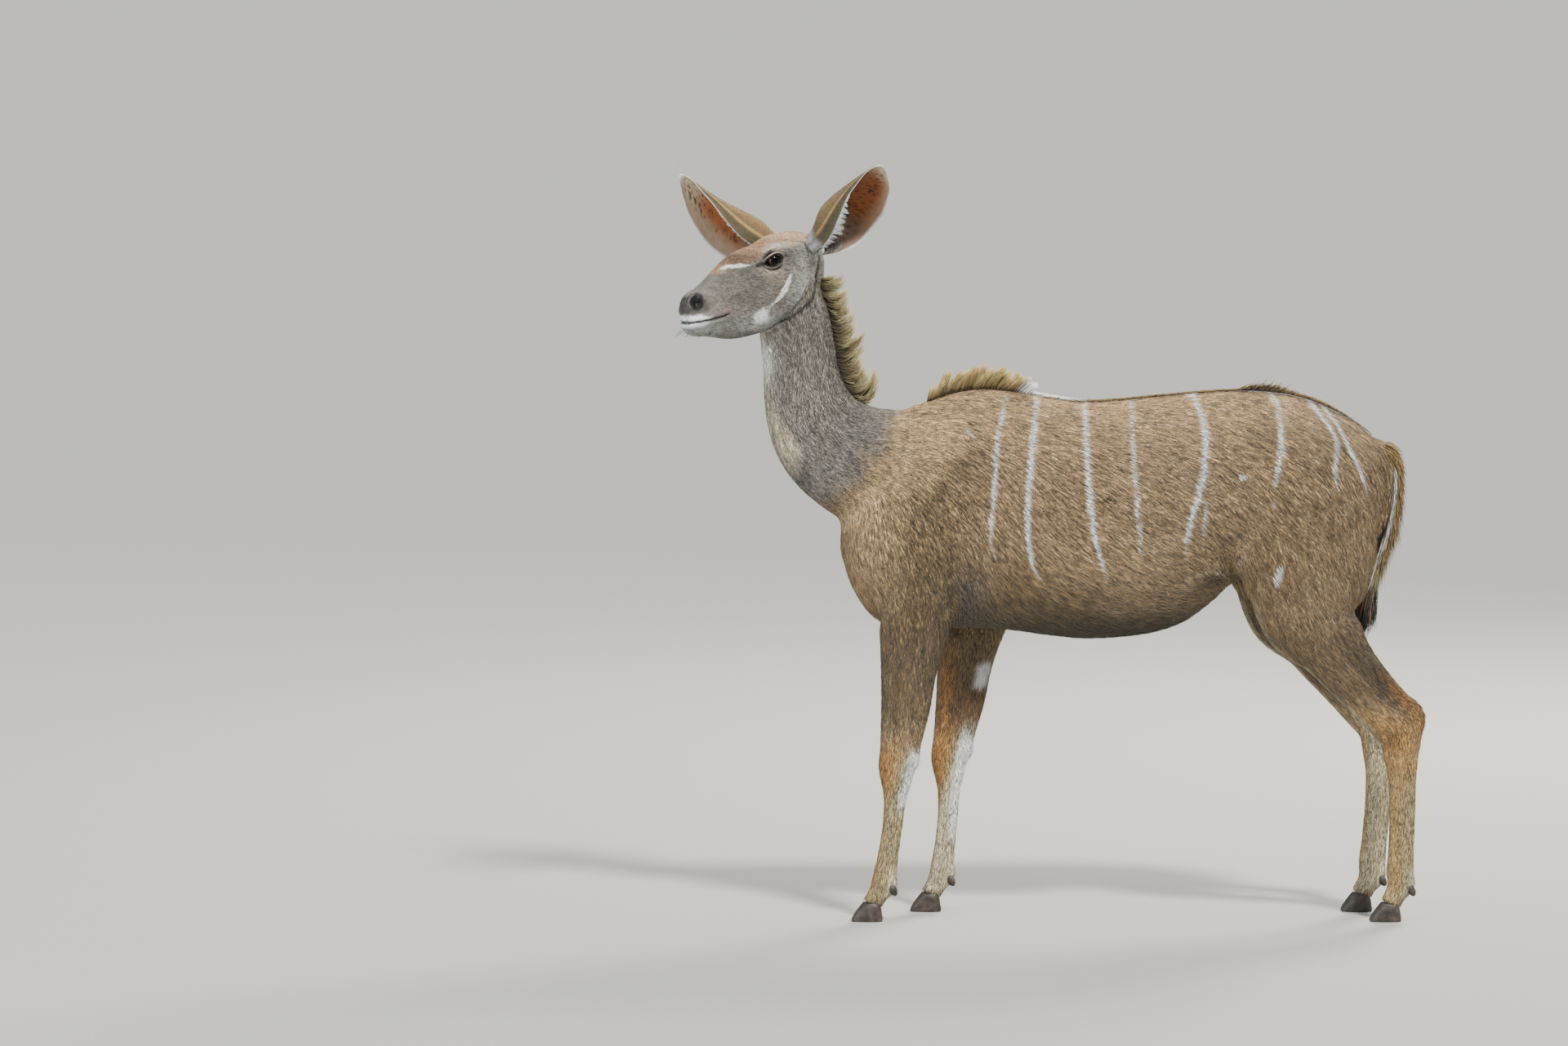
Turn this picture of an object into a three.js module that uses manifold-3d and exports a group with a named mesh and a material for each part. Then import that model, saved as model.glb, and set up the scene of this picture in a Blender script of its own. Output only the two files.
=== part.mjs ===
// A greater kudu cow standing side on, life size, in millimetres.
// +X runs from the head to the tail, -Y is the animal's left side and +Z is up, with the floor at Z = 0.
import * as THREE from "three";
import { mergeVertices } from "three/addons/utils/BufferGeometryUtils.js";
import Module from "manifold-3d";

const wasm = await Module();
wasm.setup();

// Driving dimensions.
const WITHERS_HEIGHT = 1242; // floor to the skin over the shoulder blades
const BACK_DIP = 31; // how far the back sinks behind the withers
const BELLY_HEIGHT = 652; // floor to the lowest point of the belly
const BARREL_HALF_WIDTH = 192;
const CHEST_HALF_WIDTH = 158;
const HEAD_TURN = THREE.MathUtils.degToRad(35); // the face turns to the left from straight ahead
const POLL = new THREE.Vector3(-557, 8, 1560); // top of the neck, where the head turns
const HEAD_REACH = 342; // poll to the front of the nose, level
const EAR_WALL = 4;
const EYE_RADIUS = 20;
const FETLOCK_HEIGHT = 88;
const HOOF_HEIGHT = 38;
const MANE_REACH = 78; // length of the hair on the nape
const CREST_REACH = 66; // length of the hair on the withers
const FINE_GAP = 0.3; // between faces that touch
const WELD = 0.02; // edges shorter than this close up where solids cross

// Materials.
const coat = (colour) =>
  new THREE.MeshStandardMaterial({ color: colour, roughness: 0.9, metalness: 0 });
const COAT_BROWN = coat(0x8a7560);
const COAT_GREY = coat(0x77716b);
const COAT_FAWN = coat(0xa08560);
const COAT_EAR = coat(0xa98a6a);
const COAT_TAIL = coat(0x7d6850);
const HORN = new THREE.MeshStandardMaterial({
  color: 0x2e2924,
  roughness: 0.5,
  metalness: 0,
});
const EYE = new THREE.MeshStandardMaterial({
  color: 0x120d0a,
  roughness: 0.08,
  metalness: 0,
});

const SIDE = new THREE.Vector3(0, 1, 0);
const v3 = (x, y, z) => new THREE.Vector3(x, y, z);

// A smooth curve through values at knots, read at one place.
function smooth(knots, values, at) {
  const last = knots.length - 1;
  let i = 0;
  while (i < last - 1 && at > knots[i + 1]) i += 1;
  const slope = (k) => {
    const a = Math.max(k - 1, 0);
    const b = Math.min(k + 1, last);
    return (values[b] - values[a]) / (knots[b] - knots[a]);
  };
  const span = knots[i + 1] - knots[i];
  const t = (at - knots[i]) / span;
  const t2 = t * t;
  const t3 = t2 * t;
  return (
    (2 * t3 - 3 * t2 + 1) * values[i] +
    (t3 - 2 * t2 + t) * span * slope(i) +
    (3 * t2 - 2 * t3) * values[i + 1] +
    (t3 - t2) * span * slope(i + 1)
  );
}

// A limb, neck, trunk or head: oval sections strung on a bent line.
// Each station has a centre, its reach to the back or top (up), to the front or underside (down) and to each side,
// and the fullness of its shoulders above (crown) and below (keel), as a share of side.
class Flesh {
  constructor(stations, { bulges = [], square = 0.92, lateral = SIDE, plane = null } = {}) {
    this.centres = stations.map((s) => v3(...s.at));
    this.knots = [0];
    for (let i = 1; i < stations.length; i += 1)
      this.knots.push(this.knots[i - 1] + this.centres[i].distanceTo(this.centres[i - 1]));
    this.length = this.knots.at(-1);
    const list = (name, share = 1) =>
      stations.map((s) => (s[name] === undefined ? share : s[name]));
    this.fields = {
      x: this.centres.map((c) => c.x),
      y: this.centres.map((c) => c.y),
      z: this.centres.map((c) => c.z),
      up: list("up"),
      down: list("down"),
      side: list("side"),
      crown: list("crown"),
      keel: list("keel"),
    };
    this.bulges = bulges;
    this.square = square;
    this.lateral = lateral;
    this.plane = plane;
  }

  read(name, s) {
    return smooth(this.knots, this.fields[name], s);
  }

  centre(s) {
    return v3(this.read("x", s), this.read("y", s), this.read("z", s));
  }

  // The directions along the part, to its side and to its top at a distance along it.
  frame(s) {
    const step = this.length * 0.004;
    const along = this.plane
      ? this.plane.clone()
      : this.centre(Math.min(s + step, this.length))
          .sub(this.centre(Math.max(s - step, 0)))
          .normalize();
    const side = this.lateral.clone().addScaledVector(along, -this.lateral.dot(along)).normalize();
    return { along, side, top: along.clone().cross(side) };
  }

  // A point of the surface, at a distance along and an angle from the side (0) to the top (90 degrees).
  point(s, angle, grow = 0) {
    const { side, top } = this.frame(s);
    const c = Math.cos(angle);
    const n = Math.sin(angle);
    const shaped = (q) => Math.sign(q) * Math.abs(q) ** this.square;
    const full = n > 0 ? this.read("crown", s) : this.read("keel", s);
    const wide = (this.read("side", s) + grow) * (1 + (full - 1) * n * n);
    const high = (n > 0 ? this.read("up", s) : this.read("down", s)) + grow;
    const centre = this.centre(s);
    const from = side.multiplyScalar(wide * shaped(c)).addScaledVector(top, high * shaped(n));
    const place = centre.clone().add(from);
    const out = from.normalize();
    let rise = 0;
    for (const b of this.bulges) rise += b(place);
    return place.addScaledVector(out, rise);
  }

  // The closed solid, with rings at each station and steps between them.
  solid({ sides = 24, steps = 2, grow = 0 } = {}) {
    const rings = [];
    for (let i = 0; i < this.knots.length - 1; i += 1)
      for (let k = 0; k < steps; k += 1)
        rings.push(this.knots[i] + ((this.knots[i + 1] - this.knots[i]) * k) / steps);
    rings.push(this.length);
    const points = [];
    for (const s of rings)
      for (let k = 0; k < sides; k += 1) points.push(this.point(s, (k * 2 * Math.PI) / sides, grow));
    const first = this.centre(0).addScaledVector(this.frame(0).along, -grow);
    const last = this.centre(this.length).addScaledVector(this.frame(this.length).along, grow);
    return tube(points, rings.length, sides, first, last);
  }
}

// A solid from points and triangles that close on themselves, turned right side out.
function closed(points, faces) {
  const make = (triVerts) =>
    new wasm.Manifold(
      new wasm.Mesh({
        numProp: 3,
        vertProperties: new Float32Array(points.flatMap((p) => [p.x, p.y, p.z])),
        triVerts: new Uint32Array(triVerts),
        tolerance: WELD,
      }),
    );
  const solid = make(faces);
  return solid.volume() > 0 ? solid : make([...faces].reverse());
}

// A closed solid from rings of points, with a middle point at each end.
function tube(points, rings, sides, first, last) {
  const start = points.length;
  const end = start + 1;
  const faces = [];
  const at = (ring, k) => ring * sides + (k % sides);
  for (let k = 0; k < sides; k += 1) {
    faces.push(start, at(0, k + 1), at(0, k));
    faces.push(end, at(rings - 1, k), at(rings - 1, k + 1));
    for (let r = 0; r < rings - 1; r += 1) {
      faces.push(at(r, k), at(r, k + 1), at(r + 1, k));
      faces.push(at(r, k + 1), at(r + 1, k + 1), at(r + 1, k));
    }
  }
  return closed([...points, first, last], faces);
}

// A closed hoop from rings of points, the last joined to the first.
function hoop(points, rings, sides) {
  const faces = [];
  const at = (ring, k) => (ring % rings) * sides + (k % sides);
  for (let r = 0; r < rings; r += 1)
    for (let k = 0; k < sides; k += 1) {
      faces.push(at(r, k), at(r, k + 1), at(r + 1, k));
      faces.push(at(r, k + 1), at(r + 1, k + 1), at(r + 1, k));
    }
  return closed(points, faces);
}

// A three.js geometry as a solid.
function solidOf(geometry) {
  const g = geometry.clone();
  g.deleteAttribute("normal");
  g.deleteAttribute("uv");
  const merged = mergeVertices(g, 1e-4);
  const place = merged.attributes.position;
  const points = Array.from({ length: place.count }, (_, i) => v3(0, 0, 0).fromBufferAttribute(place, i));
  return closed(points, Array.from(merged.index.array));
}

function ellipsoid(centre, rx, ry, rz, turn = new THREE.Quaternion(), across = 16, high = 10) {
  const g = new THREE.SphereGeometry(1, across, high);
  const m = new THREE.Matrix4().compose(centre, turn, v3(rx, ry, rz));
  return solidOf(g.applyMatrix4(m));
}

// A soft swelling, the same on both sides of the body, that lifts the surface near a place.
function bulge(at, reach, rise) {
  return (p) => {
    const near = (y) =>
      Math.exp(
        -(((p.x - at[0]) / reach[0]) ** 2) -
          ((p.y - y) / reach[1]) ** 2 -
          ((p.z - at[2]) / reach[2]) ** 2,
      );
    const both = at[1] === 0 ? near(0) : near(at[1]) + near(-at[1]);
    return rise * both;
  };
}

// What lies on the far side of a plane through a place, facing the given way, less half the fine gap.
function beyond(solid, place, facing) {
  const n = facing.clone().normalize();
  return solid.trimByPlane([n.x, n.y, n.z], n.dot(place) + FINE_GAP / 2);
}

// The largest closed surface of a solid.
function largest(solid) {
  const pieces = solid.decompose();
  pieces.sort((a, b) => b.volume() - a.volume());
  return pieces[0];
}

const join = (solids) => wasm.Manifold.union(solids);

// Trunk.

// One section of the trunk, from its place along the body, its top and its underside.
const trunkStation = (x, top, bottom, side, crown, keel) => {
  const middle = bottom + (top - bottom) * 0.47;
  return { at: [x, 0, middle], up: top - middle, down: middle - bottom, side, crown, keel };
};
const DIP_HEIGHT = WITHERS_HEIGHT - BACK_DIP;
const trunk = new Flesh(
  [
    trunkStation(-482, 925, 860, 30, 0.9, 0.9),
    trunkStation(-462, 985, 790, 86, 0.8, 0.8),
    trunkStation(-415, 1090, 712, 128, 0.7, 0.85),
    trunkStation(-350, 1180, 678, CHEST_HALF_WIDTH - 8, 0.5, 0.9),
    trunkStation(-270, WITHERS_HEIGHT - 28, 676, CHEST_HALF_WIDTH, 0.42, 0.92),
    trunkStation(-180, WITHERS_HEIGHT - 3, 678, CHEST_HALF_WIDTH + 2, 0.38, 0.9),
    trunkStation(-90, WITHERS_HEIGHT - 4, 672, CHEST_HALF_WIDTH + 12, 0.45, 0.85),
    trunkStation(0, WITHERS_HEIGHT - 20, 660, BARREL_HALF_WIDTH - 10, 0.58, 0.9),
    trunkStation(85, DIP_HEIGHT, BELLY_HEIGHT, BARREL_HALF_WIDTH, 0.66, 0.92),
    trunkStation(170, DIP_HEIGHT + 4, BELLY_HEIGHT + 3, BARREL_HALF_WIDTH + 2, 0.68, 0.92),
    trunkStation(250, DIP_HEIGHT + 12, 666, BARREL_HALF_WIDTH, 0.68, 0.9),
    trunkStation(320, DIP_HEIGHT + 18, 690, BARREL_HALF_WIDTH - 10, 0.66, 0.86),
    trunkStation(385, DIP_HEIGHT + 23, 735, BARREL_HALF_WIDTH - 22, 0.66, 0.8),
    trunkStation(440, DIP_HEIGHT + 25, 784, BARREL_HALF_WIDTH - 30, 0.66, 0.8),
    trunkStation(510, DIP_HEIGHT + 23, 800, BARREL_HALF_WIDTH - 34, 0.64, 0.8),
    trunkStation(590, DIP_HEIGHT + 11, 802, BARREL_HALF_WIDTH - 38, 0.6, 0.8),
    trunkStation(665, 1193, 815, BARREL_HALF_WIDTH - 50, 0.56, 0.8),
    trunkStation(725, 1158, 845, BARREL_HALF_WIDTH - 74, 0.56, 0.8),
    trunkStation(770, 1120, 890, BARREL_HALF_WIDTH - 108, 0.66, 0.85),
    trunkStation(796, 1070, 945, BARREL_HALF_WIDTH - 150, 0.9, 0.9),
  ],
  {
    square: 0.86,
    plane: v3(1, 0, 0),
    bulges: [
      bulge([-235, 110, 1105], [95, 90, 120], 12), // shoulder blade
      bulge([-315, 150, 800], [95, 80, 110], 16), // triceps
      bulge([-430, 110, 860], [60, 60, 75], 12), // point of the shoulder
      bulge([-165, 150, 900], [45, 80, 130], -9), // hollow behind the shoulder
      bulge([455, 130, 1150], [55, 60, 50], 12), // hip bone
      bulge([395, 170, 1060], [60, 70, 80], -14), // hollow of the flank
      bulge([630, 140, 960], [115, 80, 150], 14), // rump muscle
      bulge([120, 190, 800], [170, 90, 110], 8), // paunch
    ],
  },
);

// Neck, from inside the skull down into the chest.
const neck = new Flesh(
  [
    { at: [-572, -22, 1520], up: 40, down: 60, side: 46 },
    { at: [-583, -18, 1440], up: 74, down: 88, side: 54 },
    { at: [-577, -10, 1352], up: 86, down: 92, side: 54, crown: 0.75 },
    { at: [-571, -3, 1290], up: 90, down: 92, side: 53, crown: 0.7 },
    { at: [-564, 0, 1236], up: 99, down: 98, side: 56, crown: 0.65 },
    { at: [-550, 0, 1185], up: 110, down: 108, side: 63, crown: 0.6 },
    { at: [-526, 0, 1139], up: 121, down: 121, side: 74, crown: 0.55 },
    { at: [-487, 0, 1104], up: 122, down: 137, side: 90, crown: 0.5 },
    { at: [-430, 0, 1080], up: 122, down: 158, side: 110, crown: 0.5 },
    { at: [-350, 0, 1062], up: 132, down: 176, side: 124, crown: 0.5 },
  ],
  { square: 0.95 },
);

// Limbs.

// A limb between joints. A profile row has the bone it is on, its share of the way down that bone, how far the middle
// is shifted to the front, and its reach to the back (up), to the front (down) and to each side.
function limb(joints, profile) {
  return new Flesh(
    profile.map(([bone, share, shift, up, down, side]) => {
      const a = joints[bone];
      const b = joints[bone + 1];
      const along = b.clone().sub(a).normalize();
      const front = v3(along.z, 0, -along.x).normalize();
      const c = a.clone().lerp(b, share).addScaledVector(front, shift);
      return { at: c.toArray(), up, down, side };
    }),
    { square: 0.95 },
  );
}

const FORE_PROFILE = [
  [0, -0.6, 0, 56, 60, 30],
  [0, -0.34, 0, 78, 76, 40],
  [0, -0.1, 0, 88, 84, 49],
  [0, 0.04, 0, 83, 82, 51],
  [0, 0.16, 0, 74, 76, 48],
  [0, 0.34, 0, 65, 67, 41],
  [0, 0.56, 0, 62, 58, 35],
  [0, 0.78, 0, 53, 51, 31],
  [0, 0.92, 0, 48, 46, 30],
  [1, 0.02, 0, 43, 43, 31],
  [1, 0.13, 0, 39, 37, 29],
  [1, 0.26, 0, 33, 26, 23],
  [1, 0.5, 0, 32, 20, 20],
  [1, 0.75, 0, 31, 22, 21],
  [1, 0.9, 0, 32, 26, 24],
  [2, 0.06, 0, 34, 28, 26],
  [2, 0.45, 0, 27, 25, 24],
  [2, 0.95, 0, 24, 28, 26],
];
const HIND_PROFILE = [
  [0, -0.35, 0, 120, 100, 36],
  [0, 0, 0, 186, 145, 62],
  [0, 0.35, 0, 186, 152, 76],
  [0, 0.7, 0, 156, 136, 76],
  [0, 0.96, 0, 118, 105, 66],
  [1, 0.22, 0, 98, 76, 55],
  [1, 0.42, 0, 74, 72, 46],
  [1, 0.62, 0, 64, 69, 38],
  [1, 0.82, 0, 61, 68, 31],
  [1, 0.96, 0, 60, 68, 31],
  [2, 0.06, 0, 42, 64, 32],
  [2, 0.17, 0, 36, 53, 29],
  [2, 0.32, 0, 32, 40, 24],
  [2, 0.55, 0, 32, 34, 22],
  [2, 0.78, 0, 31, 34, 22],
  [2, 0.92, 0, 32, 36, 25],
  [3, 0.06, 0, 33, 32, 27],
  [3, 0.45, 0, 26, 28, 24],
  [3, 0.95, 0, 25, 29, 27],
];

// Joints of each leg: the near ones are on the left side. The last is the middle of the hoof's top.
const LEGS = [
  {
    name: "fore_left",
    profile: FORE_PROFILE,
    joints: [v3(-308, -104, 690), v3(-347, -92, 362), v3(-381, -86, FETLOCK_HEIGHT), v3(-405, -86, 36)],
  },
  {
    name: "fore_right",
    profile: FORE_PROFILE,
    joints: [v3(-168, 104, 690), v3(-221, 94, 358), v3(-242, 88, FETLOCK_HEIGHT), v3(-265, 88, 36)],
  },
  {
    name: "hind_left",
    profile: HIND_PROFILE,
    joints: [
      v3(572, -92, 985),
      v3(604, -108, 695),
      v3(834, -92, 452),
      v3(826, -88, FETLOCK_HEIGHT),
      v3(803, -88, 36),
    ],
  },
  {
    name: "hind_right",
    profile: HIND_PROFILE,
    joints: [
      v3(560, 92, 985),
      v3(584, 108, 692),
      v3(804, 92, 443),
      v3(774, 88, FETLOCK_HEIGHT),
      v3(750, 88, 36),
    ],
  },
];
const LIMB_DETAIL = { sides: 14, steps: 1 };
const FORE_CUT = 652; // height of the cut between trunk and forearm
const HIND_CUT = 772; // height of the cut between trunk and thigh
const UP = v3(0, 0, 1);
const DOWN = v3(0, 0, -1);

// One horn claw, flat on the floor, with its toe to the front.
function claw(toeX, y, grow = 0) {
  return new Flesh(
    [
      { at: [toeX + 38, y, 0], up: 40, down: 33, side: 12.5, crown: 0.7 },
      { at: [toeX + 39, y, 14], up: 35, down: 31, side: 13, crown: 0.75 },
      { at: [toeX + 41, y, 27], up: 28, down: 27, side: 12.5, crown: 0.8 },
      { at: [toeX + 43, y, HOOF_HEIGHT], up: 22, down: 22, side: 11, crown: 0.85 },
    ],
    { square: 0.9, plane: UP },
  ).solid({ sides: 10, steps: 1, grow });
}

function legNodes({ name, profile, joints }) {
  const whole = limb(joints, profile);
  const solid = whole.solid(LIMB_DETAIL);
  const hind = joints.length === 5;
  const knee = hind ? 2 : 1;
  const top = hind ? HIND_CUT : FORE_CUT;
  const foot = joints[knee + 1];
  const hoofTop = joints.at(-1);
  const kneeCut = joints[knee].clone().lerp(foot, hind ? 0.1 : 0.05);
  const cannonWay = foot.clone().sub(joints[knee]).normalize();
  const footCut = foot.clone().addScaledVector(UP, 26);
  const claws = [-14.5, 14.5].map((off) => hoofTop.y + off);
  const toeX = hoofTop.x - 47;
  const clawsGrown = join(claws.map((y) => claw(toeX, y, FINE_GAP)));
  const dewAt = (off) => v3(foot.x + 24, foot.y + off, foot.z - 14);
  const lean = new THREE.Quaternion().setFromEuler(new THREE.Euler(0, -0.5, 0));
  const dew = (off, grow) =>
    ellipsoid(dewAt(off), 9 + grow, 8 + grow, 15 + grow, lean, 8, 5);
  const nodes = {};
  const upperName = hind ? "thigh_" : "forearm_";
  const upper = beyond(solid, v3(0, 0, top), DOWN);
  nodes[upperName + name] = beyond(upper, kneeCut, cannonWay.clone().negate());
  const below = beyond(upper, kneeCut, cannonWay);
  nodes["cannon_" + name] = beyond(below, footCut, UP);
  nodes["pastern_" + name] = beyond(below, footCut, DOWN)
    .subtract(clawsGrown)
    .subtract(join([dew(-15, FINE_GAP), dew(15, FINE_GAP)]));
  claws.forEach((y, i) => {
    const which = (i === 0) === foot.y < 0 ? "outer" : "inner";
    nodes[`hoof_${name}_${which}`] = claw(toeX, y);
    nodes[`dewclaw_${name}_${which}`] = dew(i === 0 ? -15 : 15, 0);
  });
  return { nodes, upper: beyond(solid, v3(0, 0, top), UP), hind };
}

// Head. Places on it are given as forward of the poll, to the left of the middle, and height.
const FORWARD = v3(-Math.cos(HEAD_TURN), -Math.sin(HEAD_TURN), 0);
const LEFTWARD = v3(Math.sin(HEAD_TURN), -Math.cos(HEAD_TURN), 0);
const onHead = (forward, left, height) =>
  v3(POLL.x, POLL.y, 0)
    .addScaledVector(FORWARD, forward)
    .addScaledVector(LEFTWARD, left)
    .setZ(height);
const headPlace = (p) => {
  const d = p.clone().sub(POLL);
  return [d.dot(FORWARD), d.dot(LEFTWARD), p.z];
};
// A soft swelling on both sides of the head.
const headBulge = (at, reach, rise) => {
  const level = bulge(at, reach, rise);
  return (p) => {
    const [x, y, z] = headPlace(p);
    return level({ x, y, z });
  };
};
const headStation = (forward, top, bottom, side, crown, keel) => {
  const middle = bottom + (top - bottom) * 0.5;
  return {
    at: onHead(forward, 0, middle).toArray(),
    up: top - middle,
    down: middle - bottom,
    side,
    crown,
    keel,
  };
};
const head = new Flesh(
  [
    headStation(-30, 1560, 1490, 28, 0.9, 0.9),
    headStation(-16, 1586, 1455, 47, 0.9, 0.85),
    headStation(8, 1601, 1425, 58, 0.85, 0.8),
    headStation(40, 1607, 1404, 62, 0.85, 0.78),
    headStation(75, 1606, 1390, 62, 0.88, 0.75),
    headStation(104, 1600, 1380, 60, 0.96, 0.7),
    headStation(130, 1591, 1373, 58, 1, 0.68),
    headStation(156, 1578, 1367, 54, 0.92, 0.66),
    headStation(184, 1570, 1362, 50, 0.84, 0.68),
    headStation(212, 1560, 1359, 46, 0.8, 0.7),
    headStation(240, 1542, 1360, 42, 0.78, 0.74),
    headStation(266, 1520, 1364, 40, 0.8, 0.78),
    headStation(290, 1499, 1367, 39, 0.84, 0.8),
    headStation(311, 1482, 1368, 39, 0.88, 0.8),
    headStation(328, 1471, 1371, 37, 0.92, 0.8),
    headStation(HEAD_REACH - 3, 1464, 1377, 31, 0.95, 0.8),
    headStation(HEAD_REACH + 4, 1452, 1390, 19, 0.95, 0.9),
  ],
  {
    square: 0.88,
    lateral: LEFTWARD.clone().negate(),
    plane: FORWARD.clone(),
    bulges: [
      headBulge([128, 62, 1548], [34, 30, 30], 9), // eye socket
      headBulge([62, 56, 1460], [45, 40, 48], 6), // cheek
      headBulge([178, 50, 1500], [40, 30, 26], -5), // hollow before the eye
      headBulge([324, 34, 1452], [22, 16, 18], 7), // wing of the nostril
      headBulge([312, 28, 1412], [34, 26, 12], 5), // upper lip
      headBulge([306, 22, 1380], [28, 26, 13], 3), // lower lip
      headBulge([252, 40, 1420], [24, 20, 20], 4), // corner of the mouth
    ],
  },
);
const HEAD_DETAIL = { sides: 28, steps: 1 };

// The gap between the lips, from one corner round the front to the other.
const MOUTH_CORNER = { forward: 244, left: 56, height: 1417 };
const MOUTH_FRONT = { forward: HEAD_REACH + 14, left: 0, height: 1397 };
function mouthSlit() {
  const STEPS = 14;
  const OPEN = 2.4;
  const DEPTH = 22;
  const points = [];
  for (let i = 0; i <= STEPS; i += 1) {
    const a = Math.PI * (i / STEPS - 0.5);
    const front = Math.cos(a) ** 0.55;
    const reach = MOUTH_FRONT.forward - MOUTH_CORNER.forward;
    const at = (inset) => [
      MOUTH_CORNER.forward - inset * 0.4 + (reach - inset * 0.6) * front,
      Math.sin(a) * (MOUTH_CORNER.left - inset),
    ];
    const height = MOUTH_FRONT.height + (MOUTH_CORNER.height - MOUTH_FRONT.height) * (1 - front) ** 0.7;
    points.push(onHead(...at(DEPTH), height + 0.6));
    points.push(onHead(...at(DEPTH), height - 0.6));
    points.push(onHead(...at(0), height - OPEN));
    points.push(onHead(...at(0), height + OPEN));
  }
  const middle = (ring) => {
    const c = v3(0, 0, 0);
    for (let k = 0; k < 4; k += 1) c.add(points[ring * 4 + k]);
    return c.multiplyScalar(0.25);
  };
  return tube(points, STEPS + 1, 4, middle(0), middle(STEPS));
}

const headTurned = new THREE.Quaternion().setFromAxisAngle(UP, HEAD_TURN);
function nostril(left) {
  const tilt = new THREE.Quaternion().setFromEuler(new THREE.Euler(0, 0.6, left > 0 ? -0.5 : 0.5));
  return ellipsoid(onHead(330, left * 34, 1441), 17, 10, 14, headTurned.clone().multiply(tilt), 12, 8);
}

const eyeCentre = (left) => onHead(129, left * 47, 1541);
function eyeball(left, grow = 0) {
  const r = EYE_RADIUS + grow;
  return ellipsoid(eyeCentre(left), r, r, r, headTurned, 14, 9);
}

// Upper and lower lid as one almond-shaped rim that lies on the eye.
function lids(left) {
  const AROUND = 16;
  const SIDES = 6;
  const centre = eyeCentre(left);
  const out = LEFTWARD.clone().multiplyScalar(left).addScaledVector(FORWARD, 0.34).normalize();
  const front = FORWARD.clone().addScaledVector(out, -FORWARD.dot(out)).normalize();
  const points = [];
  for (let i = 0; i < AROUND; i += 1) {
    const a = (i * 2 * Math.PI) / AROUND;
    const across = Math.cos(a) * 19.5;
    const lift = Math.sin(a) * (a < Math.PI ? 12.5 : 10) - across * 0.3;
    const rise = Math.sqrt((EYE_RADIUS + 1) ** 2 - Math.min(across ** 2 + lift ** 2, 340));
    const rim = centre.clone().addScaledVector(front, across).addScaledVector(UP, lift);
    rim.addScaledVector(out, rise);
    const away = front.clone().multiplyScalar(across).addScaledVector(UP, lift).normalize();
    for (let k = 0; k < SIDES; k += 1) {
      const b = (k * 2 * Math.PI) / SIDES;
      const p = rim.clone().addScaledVector(away, 4 - Math.cos(b) * 5);
      points.push(p.addScaledVector(out, -2 + Math.sin(b) * 4));
    }
  }
  return hoop(points, AROUND, SIDES);
}

// Ears.

// A rolled leaf of skin. Each section is a spiral, tight at the front rim and flaring to the back rim.
const EAR_SHARES = [0, 0.12, 0.28, 0.42, 0.58, 0.74, 0.88, 0.96, 1];
const EAR_FRONT_RADIUS = [26, 30, 32, 31, 28, 24, 18, 11, 4];
const EAR_BACK_RADIUS = [30, 54, 93, 101, 95, 77, 49, 26, 7];
const EAR_FRONT_WRAP = [2.9, 3.15, 3.1, 2.75, 2.25, 1.75, 1.35, 1.1, 1];
const EAR_BACK_WRAP = [2.85, 2.1, 1.5, 1.35, 1.3, 1.25, 1.2, 1.1, 1];
function ear({ root, tip, face, sag, flip }) {
  const ROWS = 12;
  const COLUMNS = 11;
  const along = tip.clone().sub(root).normalize();
  const length = tip.distanceTo(root);
  const open = face.clone().addScaledVector(along, -face.dot(along)).normalize();
  const across = along.clone().cross(open).multiplyScalar(flip);
  const skins = [[], []];
  for (let i = 0; i <= ROWS; i += 1) {
    const t = i / ROWS;
    const read = (values) => smooth(EAR_SHARES, values, t);
    const front = read(EAR_FRONT_RADIUS);
    const back = read(EAR_BACK_RADIUS);
    const slide = (front - back) * 0.28;
    for (let k = 0; k <= COLUMNS; k += 1) {
      const u = k / COLUMNS;
      const angle = -read(EAR_FRONT_WRAP) + u * (read(EAR_FRONT_WRAP) + read(EAR_BACK_WRAP));
      const radius = front + (back - front) * u * u;
      const rim = Math.abs(u * 2 - 1) ** 3;
      const wall = EAR_WALL * (1 - 0.45 * rim) * (1 - 0.3 * t);
      [radius, radius - wall].forEach((r, layer) => {
        const p = root.clone().addScaledVector(along, length * t);
        p.addScaledVector(sag, Math.sin(Math.PI * t));
        p.addScaledVector(across, Math.sin(angle) * r + slide);
        skins[layer].push(p.addScaledVector(open, front * 0.5 - Math.cos(angle) * r));
      });
    }
  }
  const wide = COLUMNS + 1;
  const inner = skins[0].length;
  const faces = [];
  const quad = (a, b, c, d) => faces.push(a, b, c, a, c, d);
  for (let i = 0; i < ROWS; i += 1) {
    for (let k = 0; k < COLUMNS; k += 1) {
      const o = i * wide + k;
      quad(o, o + wide, o + wide + 1, o + 1);
      quad(inner + o, inner + o + 1, inner + o + wide + 1, inner + o + wide);
    }
    const a = i * wide;
    const b = a + COLUMNS;
    quad(a, inner + a, inner + a + wide, a + wide);
    quad(b, b + wide, inner + b + wide, inner + b);
  }
  for (let k = 0; k < COLUMNS; k += 1) {
    const b = ROWS * wide + k;
    quad(k, k + 1, inner + k + 1, inner + k);
    quad(b, inner + b, inner + b + 1, b + 1);
  }
  return closed(skins.flat(), faces);
}

const EARS = {
  ear_left: {
    root: onHead(6, 42, 1582),
    tip: v3(-389, -200, 1763),
    face: LEFTWARD.clone().addScaledVector(FORWARD, 0.22),
    sag: v3(16, 0, -4),
    flip: 1,
  },
  ear_right: {
    root: onHead(24, -44, 1556),
    tip: v3(-855, 62, 1734),
    face: FORWARD.clone().addScaledVector(LEFTWARD, 0.16),
    sag: v3(-24, 0, -28),
    flip: -1,
  },
};

// Hair.

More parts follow.
